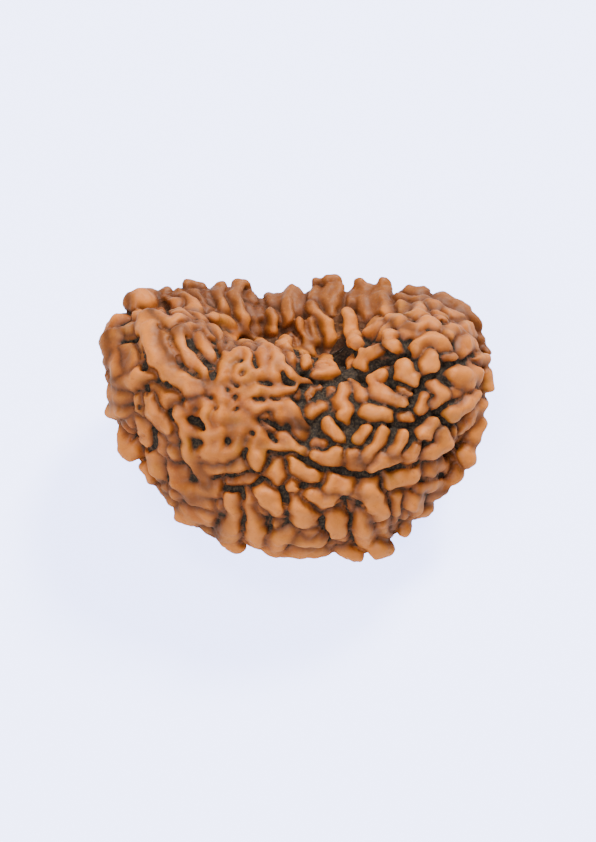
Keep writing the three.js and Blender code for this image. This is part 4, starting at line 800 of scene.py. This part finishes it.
class SEED_OT_build_seed(bpy.types.Operator):
    """Builds the seed's finely ridged shell in place of the plain solid"""

    bl_idname = "seed.build_seed"
    bl_label = "Build seed"

    def execute(self, context):
        shape = context.scene.seed_shape
        field = SeedField(shape)
        skin = self.settled_skin(field)
        out = skin.settle(field, LAST_ROUNDS, 0)
        measures = self.measure(skin, out, field)
        skin.points += out * (self.swell(skin.points) * shape.wrinkle)[:, None]
        self.lay_down(context, skin)
        self.add_shell(context, skin, measures)
        return {"FINISHED"}

    def settled_skin(self, field):
        skin = Skin()
        for longest in LOOSE_EDGES:
            skin.split(longest)
            skin.settle(lambda points: body_distance(points) - LOOSE_FIT, LOOSE_ROUNDS, SPREAD)
        for longest, fit, rounds in ((*STAGES, *FINE_STAGES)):
            skin.split(longest)
            for _ in range(0, rounds, LOOK_ROUNDS):
                field.look_round(skin.points)
                skin.settle(lambda points: field(points) - fit, LOOK_ROUNDS, SPREAD)
        return skin

    def measure(self, skin, out, field):
        """The values at each point that the finish goes by."""
        first, second, _ = field.nearest_two(field.bend(skin.points))
        beside = np.clip(1 - (second - first) / SEAM_WIDTH, 0, 1)
        behind = np.clip((-skin.points[:, 2] - 1.6) / 1.2, 0, 1)
        return {
            "height": body_distance(skin.points),
            "hollow": hollow(skin, out, HOLLOW_ROUNDS),
            "crease": hollow(skin, out, CREASE_ROUNDS),
            "wall": behind * np.clip((skin.points[:, 1] - 2) / 2, 0, 1),
            "seam": beside * np.clip(1.5 - first / 0.5, 0, 1),
            "apart": openness(skin.points),
        }

    def swell(self, points):
        return np.array([sum(part * noise.noise(Vector(point) * rate) for rate, part in WRINKLE_RATES)
                         for point in points])

    def lay_down(self, context, skin):
        """Turns the seed onto its back and puts it in the middle of the frame's box, in metres."""
        laid = np.stack([skin.points[:, 0], skin.points @ AWAY, skin.points @ UP - REST_LEVEL], -1)
        low, high = (np.array(corner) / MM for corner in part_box("seed"))
        shift = (low + high - laid.min(0) - laid.max(0)) / 2
        shift[2] = 0
        context.scene["seed_shift"] = list(shift * MM)
        laid[:, 2] = np.maximum(laid[:, 2], 0)
        skin.points = (laid + shift) * MM

    def add_shell(self, context, skin, measures):
        skin.write()
        bmesh.ops.recalc_face_normals(skin.bm, faces=skin.bm.faces)
        mesh = bpy.data.meshes.new("seed_shell")
        skin.bm.to_mesh(mesh)
        skin.bm.free()
        for name, values in measures.items():
            mesh.attributes.new(name, "FLOAT", "POINT").data.foreach_set("value", values.astype(np.float32))
        mesh.polygons.foreach_set("use_smooth", np.ones(len(mesh.polygons), dtype=bool))
        mesh.materials.append(seed_finish(context.scene.seed_colours))
        shell = bpy.data.objects.new("seed_shell", mesh)
        context.scene.collection.objects.link(shell)
        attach(shell, "root")
        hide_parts("seed")


# Finish

class Wire:
    """A socket that carries a value, with arithmetic that adds Math nodes."""

    def __init__(self, nodes, socket):
        self.nodes = nodes
        self.socket = socket

    def math(self, operation, *others):
        node = self.nodes.add("ShaderNodeMath", {"operation": operation})
        for slot, value in zip(node.inputs, (self, *others)):
            self.nodes.feed(slot, value)
        return Wire(self.nodes, node.outputs[0])

    def __add__(self, other):
        return self.math("ADD", other)

    __radd__ = __add__

    def __sub__(self, other):
        return self.math("SUBTRACT", other)

    def __rsub__(self, other):
        return self.math("MULTIPLY_ADD", -1.0, other)

    def __mul__(self, other):
        return self.math("MULTIPLY", other)

    __rmul__ = __mul__

    def ramp(self, start, end):
        """0 at start, 1 at end, straight between and held outside."""
        node = self.nodes.add("ShaderNodeMapRange", {"clamp": True}, {
            "Value": self, "From Min": start, "From Max": end})
        return Wire(self.nodes, node.outputs["Result"])


class Finish:
    """A material's node tree."""

    def __init__(self, name):
        self.material = bpy.data.materials.new(name)
        self.material.use_nodes = True
        self.tree = self.material.node_tree
        self.shader = self.tree.nodes["Principled BSDF"]

    def add(self, kind, settings=None, inputs=None):
        node = self.tree.nodes.new(kind)
        for key, value in (settings or {}).items():
            setattr(node, key, value)
        for key, value in (inputs or {}).items():
            self.feed(node.inputs[key], value)
        return node

    def feed(self, socket, value):
        if isinstance(value, Wire):
            self.tree.links.new(value.socket, socket)
        elif isinstance(value, bpy.types.NodeSocket):
            self.tree.links.new(value, socket)
        elif hasattr(value, "__len__") and len(value) == 3 and socket.type == "RGBA":
            socket.default_value = (*value, 1)
        else:
            socket.default_value = value

    def wire(self, socket):
        return Wire(self, socket)

    def attribute(self, name):
        return self.wire(self.add("ShaderNodeAttribute", {"attribute_name": name}).outputs["Fac"])

    def noise(self, scale, detail, roughness=0.55, offset=(0, 0, 0)):
        place = self.add("ShaderNodeTexCoord").outputs["Object"]
        moved = self.add("ShaderNodeMapping", None, {"Vector": place, "Location": offset})
        node = self.add("ShaderNodeTexNoise", {"noise_dimensions": "3D"}, {
            "Vector": moved.outputs[0], "Scale": scale, "Detail": detail, "Roughness": roughness})
        return self.wire(node.outputs["Fac"])

    def blend(self, part, first, second):
        """The colour that goes from first to second as part goes from 0 to 1."""
        node = self.add("ShaderNodeMix", {"data_type": "RGBA"})
        self.feed(node.inputs["Factor"], part)
        self.feed(node.inputs[6], first)
        self.feed(node.inputs[7], second)
        return node.outputs[2]

    def set_shader(self, **values):
        for key, value in values.items():
            self.feed(self.shader.inputs[key.replace("_", " ")], value)


def seed_finish(colours):
    finish = Finish("waxy_seed_shell")
    height = finish.attribute("height")
    hollow_depth = finish.attribute("hollow")
    crease = finish.attribute("crease")
    wall = finish.attribute("wall")
    seam = finish.attribute("seam")
    apart = finish.attribute("apart")
    broad = finish.noise(260, 3)
    patch = finish.noise(420, 4, offset=(0.03, 0.01, 0.02))
    tint = finish.noise(330, 2, offset=(0.07, 0.05, 0.01))
    grain = finish.noise(2600, 4, 0.65)
    speck = finish.noise(5200, 3, 0.6, offset=(0.01, 0.0, 0.04))

    tone = finish.blend(patch.ramp(0.50, 0.72) * 0.7, colours.lobe, colours.rust)
    tone = finish.blend(tint.ramp(0.50, 0.68) * 0.7, tone, colours.ochre)
    tone = finish.blend(wall * 0.9, tone, colours.wall)
    depth = hollow_depth + (grain - 0.5) * 0.08
    level = height + (broad - 0.5) * 0.3 + (grain - 0.5) * 0.12
    # Painted light: the highest parts of the ridges go towards the crest colour, less so on the wall
    crest_light = (level - hollow_depth * 2).ramp(0.75, 1.35) * (1 - wall * 0.8)
    base = finish.blend(crest_light * 0.8, tone, colours.crest)
    base = finish.blend(grain.ramp(0.56, 0.72) * 0.35, base, colours.rust)
    base = finish.blend(speck.ramp(0.56, 0.7) * 0.3, base, colours.crest)
    # Painted shade: the lower sides of the ridges go towards the flank colour
    flank_shade = (level - hollow_depth * 1.5).ramp(0.75, 0.25)
    base = finish.blend(flank_shade * 0.75, base, colours.flank_shade)
    # Dust mixed with the grooves' dark colour, laid on below as dust and painted shade
    dust_and_shade = finish.blend(speck.ramp(0.45, 0.62), colours.groove, colours.dust)
    # Painted shade beside the grooves, in the flank colour
    shade = (seam + (grain - 0.5) * 0.25).ramp(0.3, 0.9)
    base = finish.blend(shade * 0.8, base, colours.flank_shade)
    # Painted shade, partly the grooves' own dark floor: a dark line along the seams, full where the ridges
    # stand apart
    seam_shade_line = (seam + (grain - 0.5) * 0.2).ramp(0.8, 1.0) * (patch.ramp(0.4, 0.65) * 0.7 + apart)
    base = finish.blend(seam_shade_line * 0.85, base, colours.groove)
    # Real dust and painted shade in the hollows and creases: the deeper the hollow, the more of the dusty
    # dark colour
    hollow_dust_and_shade = (depth * 0.9 + crease * 0.5 + apart * 0.1 - level * 0.28).ramp(-0.02, 0.12)
    base = finish.blend(hollow_dust_and_shade * (1 - wall * 0.5), base, dust_and_shade)

    rough = 0.46 + grain * 0.16 + hollow_dust_and_shade * 0.3
    bump_height = grain * 0.5 + speck * 0.3 + broad * 0.2
    bump = finish.add("ShaderNodeBump", None, {
        "Strength": 0.5, "Distance": 0.0001, "Height": bump_height})
    finish.set_shader(Base_Color=base, Roughness=rough, Normal=bump.outputs[0])
    finish.set_shader(IOR=1.46, Specular_IOR_Level=0.35)
    finish.set_shader(Subsurface_Weight=0.1, Subsurface_Radius=(1.0, 0.45, 0.2), Subsurface_Scale=0.0004)
    return finish.material


def table_finish(tone, glow):
    finish = Finish("pale_table")
    seen = finish.wire(finish.add("ShaderNodeLightPath").outputs["Is Camera Ray"])
    finish.set_shader(Base_Color=tone, Roughness=0.9, Emission_Strength=1.0,
                      Emission_Color=finish.blend(seen, (0, 0, 0), glow))
    return finish.material


# Name, place, width and height in metres, watts, tone
STUDIO_LIGHTS = [
    ("key", (0.20, 0.36, 0.40), (0.12, 0.12), 5.4, (1.0, 0.97, 0.92)),
    ("fill", (-0.16, -0.34, 0.40), (0.20, 0.20), 2.8, (0.96, 0.97, 1.0)),
    ("overhead", (-0.12, 0.10, 0.52), (0.16, 0.16), 1.4, (1.0, 0.99, 0.97)),
]
AIR_TONE = (0.86, 0.90, 1.0, 1)
AIR_STRENGTH = 0.14
TABLE_HALF = 3.0  # metres from its middle to its edge
SENSOR = 36.0  # height of the camera's sensor in millimetres
NEAREST_SEEN = 0.01
# How far the middle of the picture is right of and below the seed's middle
PICTURE_RIGHT = 0.42 * MM
PICTURE_BELOW = 0.26 * MM


class SEED_OT_build_studio(bpy.types.Operator):
    """Builds the pale table, the soft lights and the camera"""

    bl_idname = "seed.build_studio"
    bl_label = "Build studio"

    def execute(self, context):
        settings = context.scene.seed_studio
        self.add_table(context, settings)
        self.add_lights(context)
        self.add_camera(context, settings)
        return {"FINISHED"}

    def add_table(self, context, settings):
        bm = bmesh.new()
        bmesh.ops.create_grid(bm, x_segments=1, y_segments=1, size=TABLE_HALF)
        mesh = bpy.data.meshes.new("table")
        bm.to_mesh(mesh)
        bm.free()
        mesh.materials.append(table_finish(settings.table, settings.glow))
        table = bpy.data.objects.new("table", mesh)
        context.scene.collection.objects.link(table)

    def add_lights(self, context):
        for name, place, size, power, tone in STUDIO_LIGHTS:
            lamp = bpy.data.lights.new(name, "AREA")
            lamp.shape = "RECTANGLE"
            lamp.size, lamp.size_y = size
            lamp.energy = power
            lamp.color = tone
            light = bpy.data.objects.new(name, lamp)
            light.location = place
            light.rotation_euler = (-Vector(place)).to_track_quat("-Z", "Y").to_euler()
            context.scene.collection.objects.link(light)
        world = bpy.data.worlds.new("studio_air")
        world.use_nodes = True
        world.node_tree.nodes["Background"].inputs["Color"].default_value = AIR_TONE
        world.node_tree.nodes["Background"].inputs["Strength"].default_value = AIR_STRENGTH
        context.scene.world = world

    def add_camera(self, context, settings):
        lens = bpy.data.cameras.new("camera")
        lens.lens = settings.focal_length
        lens.sensor_width = SENSOR
        lens.clip_start = NEAREST_SEEN
        distance = settings.view_height * lens.lens / lens.sensor_width
        tilt = settings.elevation
        toward = Vector((0, -math.cos(tilt), math.sin(tilt)))
        up = Vector((0, math.sin(tilt), math.cos(tilt)))
        aim = Vector(context.scene["seed_shift"]) + Vector((0, 0, -REST_LEVEL * MM))
        aim += Vector((PICTURE_RIGHT, 0, 0)) - up * PICTURE_BELOW
        camera = bpy.data.objects.new("camera", lens)
        camera.location = aim + toward * distance
        camera.rotation_euler = Euler((math.pi / 2 - tilt, 0, 0))
        context.scene.collection.objects.link(camera)
        context.scene.camera = camera


class SEED_PT_panel(bpy.types.Panel):
    bl_label = "Seed"
    bl_idname = "SEED_PT_panel"
    bl_space_type = "VIEW_3D"
    bl_region_type = "UI"
    bl_category = "Seed"

    def draw(self, context):
        for operator in (SEED_OT_build_seed, SEED_OT_build_studio):
            self.layout.operator(operator.bl_idname)
        for group in (context.scene.seed_shape, context.scene.seed_colours, context.scene.seed_studio):
            box = self.layout.box()
            for name in group.__annotations__:
                box.prop(group, name)


CLASSES = (SeedShape, SeedColours, StudioSettings, SEED_OT_build_seed, SEED_OT_build_studio, SEED_PT_panel)


def register():
    for cls in CLASSES:
        bpy.utils.register_class(cls)
    bpy.types.Scene.seed_shape = bpy.props.PointerProperty(type=SeedShape)
    bpy.types.Scene.seed_colours = bpy.props.PointerProperty(type=SeedColours)
    bpy.types.Scene.seed_studio = bpy.props.PointerProperty(type=StudioSettings)


def unregister():
    del bpy.types.Scene.seed_studio
    del bpy.types.Scene.seed_colours
    del bpy.types.Scene.seed_shape
    for cls in reversed(CLASSES):
        bpy.utils.unregister_class(cls)


def main():
    register()
    bpy.ops.seed.build_seed()
    bpy.ops.seed.build_studio()


if __name__ == "__main__":
    main()
